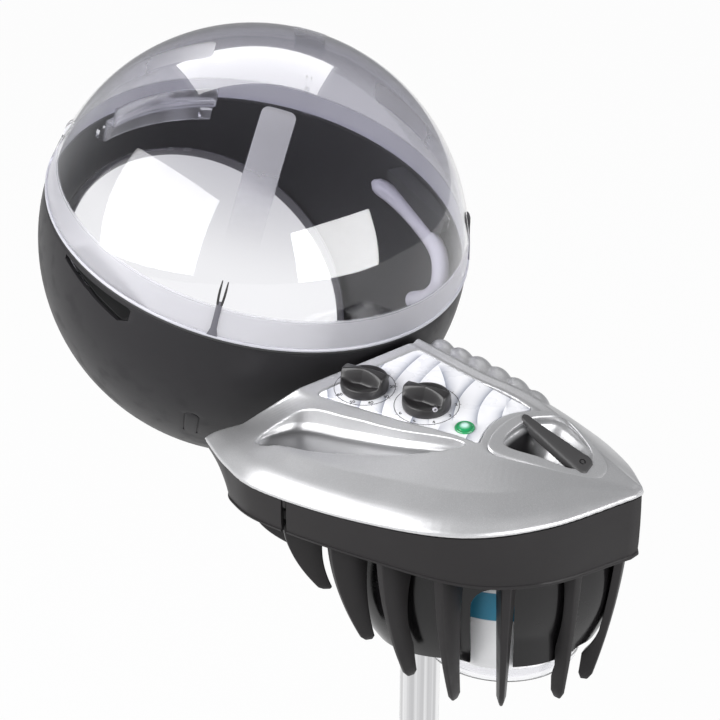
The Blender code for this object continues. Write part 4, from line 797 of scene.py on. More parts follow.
# %% Gutter and front guard
GUTTER_LOW = -112.0
GUTTER_INSIDE = 190.4
GUTTER_STEPS = ((0, 0), (-1.2, 2), (-6, 2), (-6, 11.4), (-6.6, 12), (-7.6, 12), (-8, 11.4), (-8, 0))
GUARD_TURN = 20.0
GUARD_STEPS = 40
GUARD_PROFILE = ((178.0, 12.0), (180.5, 12.0), (180.5, 34.5), (172.5, 34.5), (172.5, 52.0), (170.0, 52.0),
                 (170.0, 32.0), (178.0, 32.0))
edge = sqrt(GUTTER_INSIDE ** 2 - GUTTER_LOW ** 2)
gutter = lathe(mouth_axes, [(edge + out, GUTTER_LOW + up) for out, up in GUTTER_STEPS], HOOD_SIDES, ring=True)
gutter_grey = moulded("gutter_grey", (0.075, 0.072, 0.080), 0.22, bump=0.05)
ready(gutter, "mouth_gutter", "hood", gutter_grey, "drip_gutter", slot="dark_casing")
rows = []
for k in range(GUARD_STEPS + 1):
    a = radians(GUARD_TURN * (2 * k / GUARD_STEPS - 1))
    rows.append([hood_axes @ Vector((r * sin(a), r * cos(a), z)) for r, z in GUARD_PROFILE])
guard = tube(rows)
round_edges(guard, 0.5)
ready(guard, "front_guard", "hood", guard_clear, "front_deflector", slot="clear_plastic")

# %% [markdown]
# The body's silver cover is the hardest form: a skin that runs from the hood to the nose with a bulged flank, a soft
# crease, a sloping top for the panel, a groove and a ridge. Its sections are drawn across the body with eased
# corners, and a grid is pulled over them.

# %% Cover sections
EDGE_Z = 335.0
NEAR_EDGE = ((-160, 93), (-176, 42), (-181, -9), (-157, -90), (-114, -162), (-52, -195), (34, -206))
FAR_EDGE = ((95, 70), (103, 42), (104, 8), (100, -50), (88, -115), (70, -165), (50, -198))
TOP_NEAR = ((-101, 44, 46.5), (-75, -40, 39.3), (-49, -113, 33.6), (36, -199, 6))
TOP_FAR = ((8, 30, 61.6), (13, -40, 53.1), (21, -103, 46), (41, -198, 7))
CREASE_RISE = (15.0, 25.0, 26.0, 25.0, 19.0, 6.0)
CREASE_INSET = 31.0
RIDGE_OFFSET = 9.0
RIDGE_FADE = 0.65
LIP = 3.0
HOOD_ROUND = ((3.0, 0.0), (1.6, 0.4), (0.4, 1.6), (0.0, 3.0))
EASES = (2.0, 16.0, 2.5, 5.0, 2.5, 4.0, 6.0, 18.0, 2.0)
STATIONS = 64
NOSE_POINT = (44, -205)
NOSE_TAPER = ((0.62, 0.97), (0.3, 0.85), (0.1, 0.6))


def at_edge(p, rise=0.0):
    """Point over a plan point, at a height from the cover's edge."""
    return Vector((p.x, p.y, EDGE_Z + rise))


def cover_section(share):
    """One cross-section of the cover from its near edge to its far edge."""
    near, far, top_near, top_far = (spline(line, share) for line in (NEAR_EDGE, FAR_EDGE, TOP_NEAR, TOP_FAR))
    rise = spline([(value, 0) for value in CREASE_RISE], share).x
    gap = top_near.to_2d() - near
    crease = near + gap.normalized() * min(CREASE_INSET, 0.6 * gap.length)
    fade = 1 - soft_step((share - RIDGE_FADE) / (1 - RIDGE_FADE))
    crest = top_far + Vector((RIDGE_OFFSET * fade + 3 * (1 - fade), 0, 2 * fade))
    groove = top_far.lerp(crest, 0.5) - Vector((0, 0, 2.5 * fade))
    flank = near.lerp(crease, 0.3)
    shoulder = far.lerp(crest.to_2d(), 0.5)
    corners = [(near, 0), (near, LIP), (flank, 0.52 * rise + 0.9), (crease, rise)]
    corners += [(p, p.z) for p in (top_near, top_far, groove, crest)]
    corners += [(shoulder, 0.58 * crest.z), (far, LIP), (far, 0)]
    return eased([at_edge(p, z) for p, z in corners], EASES)


def nose_section(section, size, height):
    """The last section drawn in toward the point of the nose."""
    tip = Vector((*NOSE_POINT, EDGE_Z))
    return [tip + (p - tip) * Vector((size, size, height)) for p in section]


def hood_section(section, drop, back):
    """The first section lowered and drawn back, to round the edge beside the hood."""
    return [Vector((p.x, p.y - back, max(EDGE_Z, p.z - drop))) for p in section]


sections = [cover_section(k / STATIONS) for k in range(STATIONS + 1)]
last = sections[-1]
sections[:1] = [hood_section(sections[0], drop, back) for drop, back in HOOD_ROUND]
sections += [nose_section(last, size, height) for size, height in NOSE_TAPER]
feet = [[at_edge(p) for p in section] for section in (sections[0], sections[-1])]
cover = close(skin([feet[0]] + sections + [feet[1]]))
print("cover skin", len(cover.data.polygons), "faces")

# %% [markdown]
# Six rounded ribs lie askew along the far ridge like a twist of rope. One stretched ball is the start of each, and
# they are joined to the cover before anything is cut.

# %% Ridge ribs
RIB_COUNT = 6
RIB_FIRST_Y = 15.0
RIB_PITCH = 21.0
RIB_HALF = (17.0, 10.0, 10.0)
RIB_FROM_EDGE = 16.0
RIB_PAST_CREST = ((10.0, -11.0), (10.0, -8.5), (6.0, -13.0))
RIB_LEAN = radians(-10.0)
RIB_YAW = radians(72.0)


def share_at(points, y):
    """Share along a falling curve at which it reaches a given y."""
    low, high = 0.0, 1.0
    for _ in range(30):
        middle = (low + high) / 2
        if spline(points, middle).y > y:
            low = middle
        else:
            high = middle
    return low


for number in range(RIB_COUNT):
    share = share_at(TOP_FAR, RIB_FIRST_Y - RIB_PITCH * number)
    past, rise = spline(RIB_PAST_CREST, number / (RIB_COUNT - 1))
    spot = spline(TOP_FAR, share) + Vector((RIB_FROM_EDGE + past, 0, EDGE_Z + rise))
    rib = add(bpy.ops.mesh.primitive_uv_sphere_add, segments=32, ring_count=20, radius=1.0, location=spot * MM,
              rotation=(0, RIB_LEAN, RIB_YAW), scale=Vector(RIB_HALF) * MM)
    carve(cover, rib, 'UNION')
print("ribbed cover", len(cover.data.polygons), "faces")

# %% [markdown]
# The tray beside the panel is a crescent shelf with a sloping floor, and its far wall leans over the shelf. A closed
# skin of that form is cut out of the cover.

# %% Tray
TRAY_FAR = ((-155, 28), (-112, 28), (-92, -13), (-74, -56), (-51, -103))
TRAY_NEAR = ((-92, -83), (-131, -38), (-147, -7))
TRAY_FLOOR = (20.2, -0.055)
TRAY_LEAN = 6.0
TRAY_ROWS = ((0.0, 1.0, 1.2), (0.5, 1.0, 0.5), (1.4, 0.95, 0.1), (3.0, 0.8, 0.0), (6.0, 0.35, 0.0),
             (60.0, 0.0, 0.0))
TRAY_PER_SPAN = 10
rim = loop_through(TRAY_FAR + TRAY_NEAR, TRAY_PER_SPAN)
far_count = TRAY_PER_SPAN * (len(TRAY_FAR) - 1)
tips = Vector(TRAY_FAR[-1]) - Vector(TRAY_FAR[0])
toward_near = Vector((tips.y, -tips.x)).normalized()
rings = []
for rise, lean, inset in TRAY_ROWS:
    ring = []
    for k, p in enumerate(shrink(rim, inset) if inset else rim):
        far_side = sin(pi * min(k, far_count) / far_count)
        level = TRAY_FLOOR[0] + TRAY_FLOOR[1] * rim[k].y
        ring.append(at_edge(p + toward_near * TRAY_LEAN * far_side * lean, level + rise))
    rings.append(ring)
carve(cover, tube(rings))
print("cover with tray", len(cover.data.polygons), "faces")

# %% [markdown]
# The handle hole has a steep near wall and two leaning far facets. The panel sits in a shallow pocket whose outline
# has straight sides and a hollowed end. Both are cut in the same way.

# %% Handle hole and panel pocket
HOLE_OUTLINE = ((-28, -123), (-1, -117), (18, -122), (31, -133), (29, -163), (8, -165), (-10, -145))
HOLE_LEAN = 22.0
HOLE_LEAN_FROM = -8.0
HOLE_LEAN_OVER = 40.0
HOLE_FLOOR = 7.0
NOSE_AT = (2.4, -113.0, 44.0)
CUT_ABOVE = 25.0
PANEL_CORNERS = ((-95, 27), (-42, -109), (19, -106), (7, 18))
PANEL_REACHES = (7.0, 6.0, *[2.0] * 11, 6.0, 7.0)
PANEL_END_BULGE = 10.0
PANEL_SLOPE = (0.157, 0.133)
PANEL_DATUM = 56.4
POCKET = (-0.3, -2.3)
panel_up = Vector((-PANEL_SLOPE[0], -PANEL_SLOPE[1], 1)).normalized()


def panel_height(x, y):
    return EDGE_Z + PANEL_DATUM + PANEL_SLOPE[0] * x + PANEL_SLOPE[1] * y


def nose_height(x, y):
    return EDGE_Z + NOSE_AT[2] + NOSE_SLOPE[0] * (x - NOSE_AT[0]) + NOSE_SLOPE[1] * (y - NOSE_AT[1])


def on_nose(points, lift):
    return [Vector((p.x, p.y, nose_height(p.x, p.y) + lift)) for p in points]


def on_panel(points, lift):
    return [Vector((p.x, p.y, panel_height(p.x, p.y))) + panel_up * lift for p in points]


def panel_outline(inset):
    """Straight sides, eased corners and a hollowed end that follows the handle's bezel."""
    a, b, c, d = (Vector(corner) for corner in PANEL_CORNERS)
    across = c - b
    out = Vector((across.y, -across.x)).normalized()
    end = [b + across * (k / 12) - out * PANEL_END_BULGE * sin(pi * k / 12) for k in range(13)]
    half = a.lerp(d, 0.5)
    return shrink(eased([half, a] + end + [d, half], PANEL_REACHES)[:-1], inset)


rim = loop_through(HOLE_OUTLINE, 8)
lean = [HOLE_LEAN * soft_step((p.x - HOLE_LEAN_FROM) / HOLE_LEAN_OVER) for p in rim]
foot = [at_edge(p - Vector((back, 0)), HOLE_FLOOR) for p, back in zip(rim, lean)]
carve(cover, tube([foot, on_nose(rim, 0), on_nose(rim, CUT_ABOVE)]))
rim = panel_outline(POCKET[0])
carve(cover, tube([on_panel(rim, POCKET[1]), on_panel(rim, CUT_ABOVE)]))
print("cover with hole and pocket", len(cover.data.polygons), "faces")

# %% [markdown]
# Toward the hood the cover is open under its roof, so that the hood's neck can swing in it. After all cuts the whole
# cover is remeshed and relaxed a little. That gives every edge the small soft radius of a painted moulding, which no
# bevel does as well on so many crossing cuts.

# %% Neck opening and soft edges
NECK_LOW = Vector((-37.0, -24.0, 330.0))
NECK_HIGH = Vector((37.0, 62.0, 382.0))
COVER_VOXEL = 0.95
COVER_SHARE = 0.45

carve(cover, add(bpy.ops.mesh.primitive_cube_add, size=1.0, location=(NECK_LOW + NECK_HIGH) / 2 * MM,
                 scale=(NECK_HIGH - NECK_LOW) * MM))
modify(cover, 'REMESH', mode='VOXEL', voxel_size=COVER_VOXEL * MM)
modify(cover, 'SMOOTH', factor=0.5, iterations=4)
modify(cover, 'DECIMATE', ratio=COVER_SHARE)
ready(cover, "silver_cover", "body", silver, "top_cover", slot="satin_silver", smooth=60)

# %% [markdown]
# The panel is a thin pale plate, printed from below with a ripple of broken arcs in soft grey-lavender: rings about two
# points, each fading from a sharp edge, thinned out by a noise.

# %% Control panel
PANEL_AT = (-30.0, -40.0, 376.0)
RIPPLES = (((0.062, -0.100), 0.019, (0.44, 0.58)), ((-0.095, 0.090), 0.024, (0.58, 0.42)))
STROKE_SHARP = 4.5
PANEL_PALE = (0.85, 0.85, 0.88)
PANEL_INK = (0.25, 0.27, 0.34)
panel_tilt = Vector((0, 0, 1)).rotation_difference(panel_up)

panel_print, do, shader = new_finish("panel_print")
place = do.place(PANEL_AT, panel_tilt.to_euler())
x, y, z = do.axes(place)
patches = do.noise(place, 22.0, 1.0)
stroke = 0.0
for (cx, cy), pitch, levels in RIPPLES:
    away = do.length(do.minus(x, cx), do.minus(y, cy))
    phase = do.reckon('FRACT', do.reckon('DIVIDE', away, pitch))
    fall = do.reckon('POWER', do.minus(1.0, phase), STROKE_SHARP)
    stroke = do.larger(stroke, do.times(fall, do.bend(patches, *levels)))
do.put(shader, {"Base Color": do.blend(stroke, PANEL_PALE, PANEL_INK), "Coat Weight": 0.2,
                "Roughness": do.bend(do.noise(place, 55.0, 3.0), 0.4, 0.8, 0.26, 0.36)})
do.roughen(shader, do.noise(place, 1800.0, 1.0), 0.05, 0.0002)

rim = panel_outline(0.3)
panel = tube([on_panel(rim, -2.0), on_panel(rim, -0.6), on_panel(shrink(rim, 0.7), 0.0)])
round_edges(panel, 0.4, angle=25)
ready(panel, "printed_panel", "body", panel_print, "control_panel", slot="panel_plastic")

# %% [markdown]
# Round each knob a dial is printed: a thin black circle, short ticks and plain numbers inside it. Circle and ticks
# are flat rings and bars a tenth of a millimetre thick, and the numbers are text made into a mesh.

# %% Dials
TIMER_AT = (-59.5, 6.7)
STEAM_AT = (-38.8, -45.4)
DIAL_SPAN = (395, 165)
DIAL_LIFT = 0.02
DIAL_HALF = 0.25
INK = 0.12
TICKS_PER_MARK = 4
TICK_LONG = (1.5, 0.8)
TICK_WIDE = 0.35
MARK_INSET = 2.6
MARK_SIZE = 4.6
MARK_BOLD = 0.07
MARK_EXTRUDE = 0.05
MARK_TURN = radians(-30)
print_black = moulded("dial_ink", (0.03, 0.03, 0.033), 0.4)


def panel_axes(spot):
    return Matrix.Translation((*spot, panel_height(*spot))) @ panel_tilt.to_matrix().to_4x4()


def dial_turn(share):
    return radians(DIAL_SPAN[0] + (DIAL_SPAN[1] - DIAL_SPAN[0]) * share)


def dial(spot, radius, marks, name):
    axes = panel_axes(spot)
    thin = [(radius + out, up) for out, up in ((-DIAL_HALF, 0), (DIAL_HALF, 0), (DIAL_HALF, INK), (-DIAL_HALF, INK))]
    parts = [lathe(axes @ Matrix.Translation((0, 0, DIAL_LIFT)), thin, 96, ring=True)]
    steps = TICKS_PER_MARK * (len(marks) - 1)
    for k in range(steps + 1):
        long = TICK_LONG[0] if k % TICKS_PER_MARK == 0 else TICK_LONG[1]
        out = Matrix.Translation((radius + long / 2, 0, DIAL_LIFT + INK / 2))
        tick = add(bpy.ops.mesh.primitive_cube_add, size=1.0)
        size = Matrix.Diagonal((long, TICK_WIDE, INK, 1))
        place_in(tick, axes @ Matrix.Rotation(dial_turn(k / steps), 4, 'Z') @ out @ size)
        parts.append(tick)
    for k, mark in enumerate(marks):
        only()
        bpy.ops.object.text_add()
        word = bpy.context.object.data
        word.body, word.size, word.offset, word.extrude = mark, MARK_SIZE, MARK_BOLD, MARK_EXTRUDE
        word.align_x = word.align_y = 'CENTER'
        bpy.ops.object.convert(target='MESH')
        a = dial_turn(k / (len(marks) - 1))
        out = radius - MARK_INSET
        there = Matrix.Translation((out * cos(a), out * sin(a), DIAL_LIFT + INK / 2))
        place_in(bpy.context.object, axes @ there @ Matrix.Rotation(MARK_TURN, 4, 'Z'))
        parts.append(bpy.context.object)
    ready(join(*parts), name, "body", print_black, slot="dark_casing")


dial(TIMER_AT, 25.0, ("0", "10", "20", "30", "40", "50", "60"), "timer_dial")
dial(STEAM_AT, 26.2, ("0", "1", "2", "3", "4", "5", "6"), "steam_dial")

# %% [markdown]
# Both knobs are one moulding: a round drum with a raised S-shaped grip, whose lobes run out to the drum's side, and
# two scooped flanks. A ball with enough points is pressed into that form: the lower half goes flat, and each point of
# the upper half is lifted to a height that depends on its distance from the S.

# %% Knobs
KNOB_RADIUS = 20.0
KNOB_LIFT = 0.3
KNOB_TURN = radians(-84.0)
SKIRT = 3.0
DRUM_TOP = 8.6
SCOOP = 3.2
SCOOP_SPAN = (0.96, 0.5)
GRIP_TOP = 18.2
GRIP_FALL = 3.4
S_SWING = 4.5
LOBE_HALF = (3.0, 6.6)
WALL_EASE = 2.4
RIM_EASE = 0.10
RIM_SHARE = 0.76


def knob_height(x, y):
    r = min(1.0, sqrt(x * x + y * y) / KNOB_RADIUS)
    along = abs(x) / KNOB_RADIUS
    drum = DRUM_TOP - SCOOP * soft_step((SCOOP_SPAN[0] - r) / SCOOP_SPAN[1])
    half = LOBE_HALF[0] + (LOBE_HALF[1] - LOBE_HALF[0]) * along
    away = abs(y - S_SWING * sin(pi * x / (2 * KNOB_RADIUS)))
    wall = soft_step((half + WALL_EASE - away) / (2 * WALL_EASE))
    level = drum + (GRIP_TOP - GRIP_FALL * along ** 2 - drum) * wall
    rim = min(1.0, (1 - r) / RIM_EASE)
    return SKIRT + (level - SKIRT) * (RIM_SHARE + (1 - RIM_SHARE) * sqrt(rim * (2 - rim)))


def knob(spot, name, body, node):
    made = add(bpy.ops.mesh.primitive_uv_sphere_add, segments=96, ring_count=96, radius=1.0)
    axes = panel_axes(spot) @ Matrix.Rotation(KNOB_TURN, 4, 'Z')
    for vertex in made.data.vertices:
        p = vertex.co
        flat = sqrt(p.x * p.x + p.y * p.y)
        even = 1.0 if flat < 1e-6 else atan2(flat, abs(p.z)) / (pi / 2) / flat
        x, y = p.x * even * KNOB_RADIUS, p.y * even * KNOB_RADIUS
        level = 0.0 if p.z < -1e-4 else knob_height(x, y) if p.z > 1e-4 else SKIRT * 0.9
        vertex.co = (axes @ Vector((x, y, KNOB_LIFT + level))) * MM
    close(made, caps=False)
    modify(made, 'SMOOTH', factor=0.4, iterations=2)
    ready(made, name, body, knob_black, node, slot="dark_casing", smooth=60)


knob(TIMER_AT, "timer_grip", "timer", "timer_knob")
knob(STEAM_AT, "steam_grip", "steam", "steam_knob")
MARK_BEARING = radians(-112.0)
MARK_OUT = Vector((KNOB_RADIUS - 0.2, 0, 9.0))
MARK_RING = ((1.1, -1), (2.0, -1), (2.0, 0.5), (1.1, 0.5))
mark_axes = panel_axes(STEAM_AT) @ Matrix.Rotation(MARK_BEARING, 4, 'Z')
mark_axes = mark_axes @ Matrix.Translation(MARK_OUT) @ Matrix.Rotation(pi / 2, 4, 'Y')
mark = lathe(mark_axes, MARK_RING, 32, ring=True)
ready(mark, "steam_grip_mark", "steam", grey_moulding, slot="grey_moulding")

# %% [markdown]
# The pilot lamp is a small green lens with a raised rim and a domed middle. A pale painted highlight lies on the
# middle of the dome.

# %% Pilot lamp
LAMP_AT = (-37.0, -88.0)
LENS = ((5.8, -2.0), (5.8, 0.2), (8.0, 0.2), (8.0, 1.0), (7.6, 1.5), (6.6, 1.6), (6.1, 1.3), (5.6, 1.7),
        (4.4, 2.7), (2.6, 3.3), (0.8, 3.5))
LENS_HIGHLIGHT_SPAN = (0.0052, 0.0012)
LENS_GREEN = (0.004, 0.27, 0.085)
LENS_PAINTED_HIGHLIGHT = (0.55, 0.82, 0.74)

lens_green, do, shader = new_finish("lens_green")
place = do.place((*LAMP_AT, panel_height(*LAMP_AT)), panel_tilt.to_euler())
x, y, z = do.axes(place)
# Painted highlight: the middle of the lens is lightened from green to pale.
middle = do.bend(do.length(x, y), *LENS_HIGHLIGHT_SPAN)
facets = do.noise(place, 900.0, 0.0)
do.put(shader, {"Base Color": do.blend(middle, LENS_GREEN, LENS_PAINTED_HIGHLIGHT), "Coat Weight": 0.6,
                "Roughness": do.bend(facets, 0.3, 0.7, 0.12, 0.2)})
do.roughen(shader, facets, 0.08, 0.0002)
lens = lathe(panel_axes(LAMP_AT), LENS, 64)
ready(lens, "pilot_window", "body", lens_green, "pilot_lens", slot="green_lens")

# %% [markdown]
# A broad flat ring with eased edges frames the handle hole. Rows of the same outline, each a little further in and at
# another height, are skinned to a closed ring.

# %% Bezel round the handle hole
BEZEL_OUTLINE = ((-42, -120), (-10, -109), (25, -120), (36, -148), (33, -176), (12, -179), (-16, -152))
BEZEL_PER_SPAN = 14
BEZEL_ROWS = ((0.0, -0.2), (0.0, 0.8), (0.03, 1.9), (0.09, 2.7), (0.2, 3.0), (0.5, 3.0), (0.85, 3.0), (0.97, 2.8),
              (1.0, 2.4), (1.0, -1.0), (0.5, -1.0))
outer = loop_through(BEZEL_OUTLINE, BEZEL_PER_SPAN)
inner = shrink(loop_through(HOLE_OUTLINE, BEZEL_PER_SPAN), -0.4)
rows = [on_nose([a.lerp(b, share) for a, b in zip(outer, inner)], lift) for share, lift in BEZEL_ROWS]
bezel = tube(rows + rows[:1], caps=False)
modify(bezel, 'SUBSURF', levels=1, render_levels=1)
ready(bezel, "hole_frame", "body", silver, "handle_bezel", slot="satin_silver", smooth=60)

# %% [markdown]
# The grip is a tapered dark bar across the hole, narrow at the panel and broad at the nose. Its rings are rounded
# boxes. A screw mark sits at the broad end.

# %% Grip bar
GRIP_FROM = Vector((2.0, -116.0))
GRIP_TO = Vector((17.5, -170.5))
GRIP_WIDTHS = (7.0, 18.0)
GRIP_CROWN = 4.6
GRIP_STEPS = ((-0.05, 0.5, 0.8), (-0.035, 0.8, 0.4), (0.0, 0.97, 0.3), (0.07, 1.0, 0.3), (0.10, 1.0, -5.0),
              (0.3, 1.0, -5.0), (0.55, 1.0, -5.0), (0.86, 1.0, -5.0), (0.90, 0.99, 0.3), (0.95, 0.93, 0.3),
              (0.99, 0.78, 0.4), (1.015, 0.55, 0.8))
SCREW_SHARE = 0.9
SCREW_SINK = 0.45
SCREW_RING = ((1.6, 0), (2.6, 0), (2.6, 0.5), (2.2, 0.7), (1.6, 0.5))


def rounded_box(half, height, sides=28, power=5.0):
    """Outline of a bar's section: a box with well rounded corners."""
    points = []
    for a in full_turn(sides):
        c, s = cos(a), sin(a)
        reach = (abs(c) ** power + abs(s) ** power) ** (-1 / power)
        points.append((half * c * reach, height / 2 * (1 + s * reach)))
    return points


along = (GRIP_TO - GRIP_FROM).normalized()
aside = Vector((-along.y, along.x))
rings = []
for share, scale, low in GRIP_STEPS:
    centre = GRIP_FROM.lerp(GRIP_TO, share)
    half = (GRIP_WIDTHS[0] + (GRIP_WIDTHS[1] - GRIP_WIDTHS[0]) * share) / 2 * scale
    box = rounded_box(half, GRIP_CROWN * (0.7 + 0.3 * scale) - low)
    rings.append([on_nose([centre + aside * offset], low + lift)[0] for offset, lift in box])
grip_grey = moulded("grip_grey", (0.042, 0.041, 0.042), 0.5, bump=0.2)
ready(tube(rings), "handle_grip", "body", grip_grey, "grip_bar", slot="dark_casing", smooth=60)
spot = on_nose([GRIP_FROM.lerp(GRIP_TO, SCREW_SHARE)], GRIP_CROWN - SCREW_SINK)[0]
nose_up = Vector((-NOSE_SLOPE[0], -NOSE_SLOPE[1], 1)).normalized()
nose_tilt = Vector((0, 0, 1)).rotation_difference(nose_up)
screw = lathe(Matrix.Translation(spot) @ nose_tilt.to_matrix().to_4x4(), SCREW_RING, 32, ring=True)
ready(screw, "grip_screw_mark", "body", dark_gloss, slot="dark_casing")

# %% [markdown]
# Below the cover runs a dark band in two halves, parted by a slot on each side. It follows the cover's edge, deepens
# toward the nose and tucks in under the hood. A bead along its lower edge catches the light.

# %% Band outline
HOOD_DIP = ((26, 30), (8, 30), (-100, 43))
BAND_DEPTH = 28.0
BAND_DEEPENS = 27.0
BODY_SPAN = (2.0, 209.0)
TUCK_SPAN = (34.0, 60.0)
TUCK_IN = (0.12, 22.0)
BAND_GAP = 0.5
BAND_PROFILE = ((0.0, 0.02), (-0.35, 0.25), (-0.5, 0.5), (-0.3, 0.78), (0.1, 0.9), (0.1, 0.93), (-0.7, 0.945),
                (-0.9, 0.97), (-0.6, 0.995), (0.4, 1.0), (3.0, 1.0), (3.0, 0.5), (3.0, 0.02))


def body_loop():
    """Closed plan of the cover's lower edge: near side, nose, far side, hood side."""
    near, far = run(NEAR_EDGE, 96), run(FAR_EDGE, 72)
    back = run((FAR_EDGE[0], *HOOD_DIP, NEAR_EDGE[0]), 48)
    return near + [Vector(NOSE_POINT)] + far[::-1] + back[1:-1]


def tuck(point, share):
    """Draw the casing in under the hood by a share of its depth."""
    weight = soft_step((point.y - TUCK_SPAN[0]) / TUCK_SPAN[1]) * share ** 2
    return Vector((point.x * (1 - TUCK_IN[0] * weight), point.y - TUCK_IN[1] * weight))


def band_ring(outer, inner):
    deepens = max(0.0, (BODY_SPAN[0] - outer.y) / BODY_SPAN[1]) ** 3
    depth = BAND_DEPTH + BAND_DEEPENS * deepens - BAND_GAP
    step = (inner - outer).normalized()
    return [at_edge(tuck(outer + step * inset, share), -BAND_GAP - depth * share) for inset, share in BAND_PROFILE]


def crossing(line, y):
    """Where a run of (outer, inner) pairs crosses a y value."""
    for (a, a_in), (b, b_in) in zip(line, line[1:]):
        if (a.y - y) * (b.y - y) <= 0 and a.y != b.y:
            t = (y - a.y) / (b.y - a.y)
            return a.lerp(b, t), a_in.lerp(b_in, t)
    return line[-1]


# %% Front and rear band
SLOT_Y = -33.0
SLOT_WIDTH = 5.0
BAND_INSETS = (1.5, 4.5)
plan = body_loop()
pairs = list(zip(*(shrink(plan, inset) for inset in BAND_INSETS)))
nose = min(range(len(plan)), key=lambda k: plan[k].y)
split = next(k for k in range(nose, len(plan)) if plan[k].y > SLOT_Y + SLOT_WIDTH)
turn = next(k for k in range(nose, 0, -1) if plan[k].y > SLOT_Y + SLOT_WIDTH)
front_y, rear_y = SLOT_Y - SLOT_WIDTH / 2, SLOT_Y + SLOT_WIDTH / 2
near_run, far_run = pairs[turn - 1:nose], pairs[nose:split + 2]
front = [pair for pair in pairs[turn + 1:split] if pair[0].y < front_y]
front = [crossing(near_run, front_y), *front, crossing(far_run, front_y)]
rear = [pair for pair in pairs[split:] + pairs[:turn + 1] if pair[0].y > rear_y]
rear = [crossing(far_run, rear_y), *rear, crossing(near_run, rear_y)]
for half, label in ((front, "front"), (rear, "rear")):
    band = tube([band_ring(*pair) for pair in half])
    ready(band, f"band_{label}", "body", dark_casing, f"{label}_band", slot="dark_casing")

# %% [markdown]
# In the near slot a small dark tab shows at the top, the end of the catch that holds the two halves.

# %% Slot tab
TAB_ROWS = ((-1.2, 1.0), (-5.5, 1.0), (-7.0, 0.7))
TAB_CORNERS = ((0.4, -1.7), (0.4, 1.7), (3.6, 1.7), (3.6, -1.7))
near_cut, near_in = crossing(near_run, SLOT_Y)
step = (near_in - near_cut).normalized()
beside = Vector((-step.y, step.x))
tab = tube([[at_edge(near_cut + step * inset + beside * half * reach, level) for inset, half in TAB_CORNERS]
            for level, reach in TAB_ROWS])
round_edges(tab, 0.4)
ready(tab, "slot_tab", "body", dark_casing, slot="dark_casing")

# %% [markdown]
# The claw guard is one dark moulding: the body's floor with a row of claws that curl in round the jar. Every claw is
# a blade on a bearing from the jar's axis, thin outside and thick inside, so each is skinned from the same rule and
# its edges are rounded. It keeps clear of the shroud, a smooth skin round the jar that swells on two sides.

# %% Claw rules
JAR_AT = Vector((0.0, -100.0))
JAR_ROOM = 68.5
FLOOR_Z = -26.0
SHROUD_BELLY = 78.0
SHROUD_SWELLS = ((52.0, radians(150), 4), (18.0, radians(305), 8))
SHROUD_BEND = 107.0
SHROUD_LEAST = 72.5
CLAW_LEVELS = 24
CLAW_REACH = (180.0, 120.0)
CLAW_BACK = (205.0, 209.0)
CLAW_SWING = 30.0
CLAW_CURL = 1.8
CLAW_WIDE = (18.0, 8.0)
CLAW_DEEP = (34.0, 10.0)
CLAW_LEAST = 6.0
CLAW_BLUNT = 0.55
CLAW_THIN = 0.45
CLAW_CLEAR = 1.5
CLAW_UNDER = (-146.0, 14.0)


def shroud_radius(turn, level):
    """Outer radius of the shroud about the jar, at a turn and a height."""
    belly = SHROUD_BELLY
    for swell, bearing, power in SHROUD_SWELLS:
        belly += swell * max(0.0, cos(turn - bearing)) ** power
    return max(SHROUD_LEAST, belly * cos((level + SHROUD_BELLY) / SHROUD_BEND))


def on_bearing(outline, bearing):
    """Where a closed plan outline meets a ray from the jar's axis."""
    ray = Vector((cos(bearing), sin(bearing)))
    for a, b in zip(outline, outline[1:] + outline[:1]):
        edge, gap = b - a, a - JAR_AT
        turn = ray.cross(edge)
        if turn and gap.cross(edge) / turn > 0 and 0 <= gap.cross(ray) / turn <= 1:
            return JAR_AT + ray * (gap.cross(edge) / turn)
    return outline[0]


def claw(root, inward):
    """Blade from its root behind the band to its blunt tip, clear of the shroud."""
    back = min(max((root.y + CLAW_BACK[0]) / CLAW_BACK[1], 0.0), 1.0)
    tip = CLAW_REACH[1] * back ** 2 - CLAW_REACH[0]
    top = FLOOR_Z + 1.5
    side = Vector((-inward.y, inward.x))
    turn = atan2(root.y - JAR_AT.y, root.x - JAR_AT.x)
    rings = []

    def room_at(level):
        widest = max(shroud_radius(turn + a, level) for a in (-0.13, 0, 0.13))
        under = soft_step((CLAW_UNDER[0] - level) / CLAW_UNDER[1])
        return (root - JAR_AT).length - widest * (1 - under) - JAR_ROOM * under - CLAW_CLEAR

    swing = min(CLAW_SWING, room_at(tip) - CLAW_DEEP[1])
    for k in range(CLAW_LEVELS + 1):
        share = k / CLAW_LEVELS
        level = top + (tip - top) * share
        blunt = 1.0 if k < CLAW_LEVELS else CLAW_BLUNT
        wide, full_depth = (first + (last - first) * share for first, last in (CLAW_WIDE, CLAW_DEEP))
        curl = swing * share ** CLAW_CURL
        deep = max(CLAW_LEAST, min(full_depth, room_at(level) - curl)) * blunt
        outer = root + inward * curl + inward * (1 - blunt) * full_depth / 2
        inner = outer + inward * deep
        full = side * wide * blunt / 2
        edge = full * CLAW_THIN
        rings.append([at_edge(p, level) for p in (outer - edge, outer + edge, inner + full, inner - full)])
    blade = tube(rings)
    round_edges(blade, 1.3, segments=3, angle=35)
    return blade


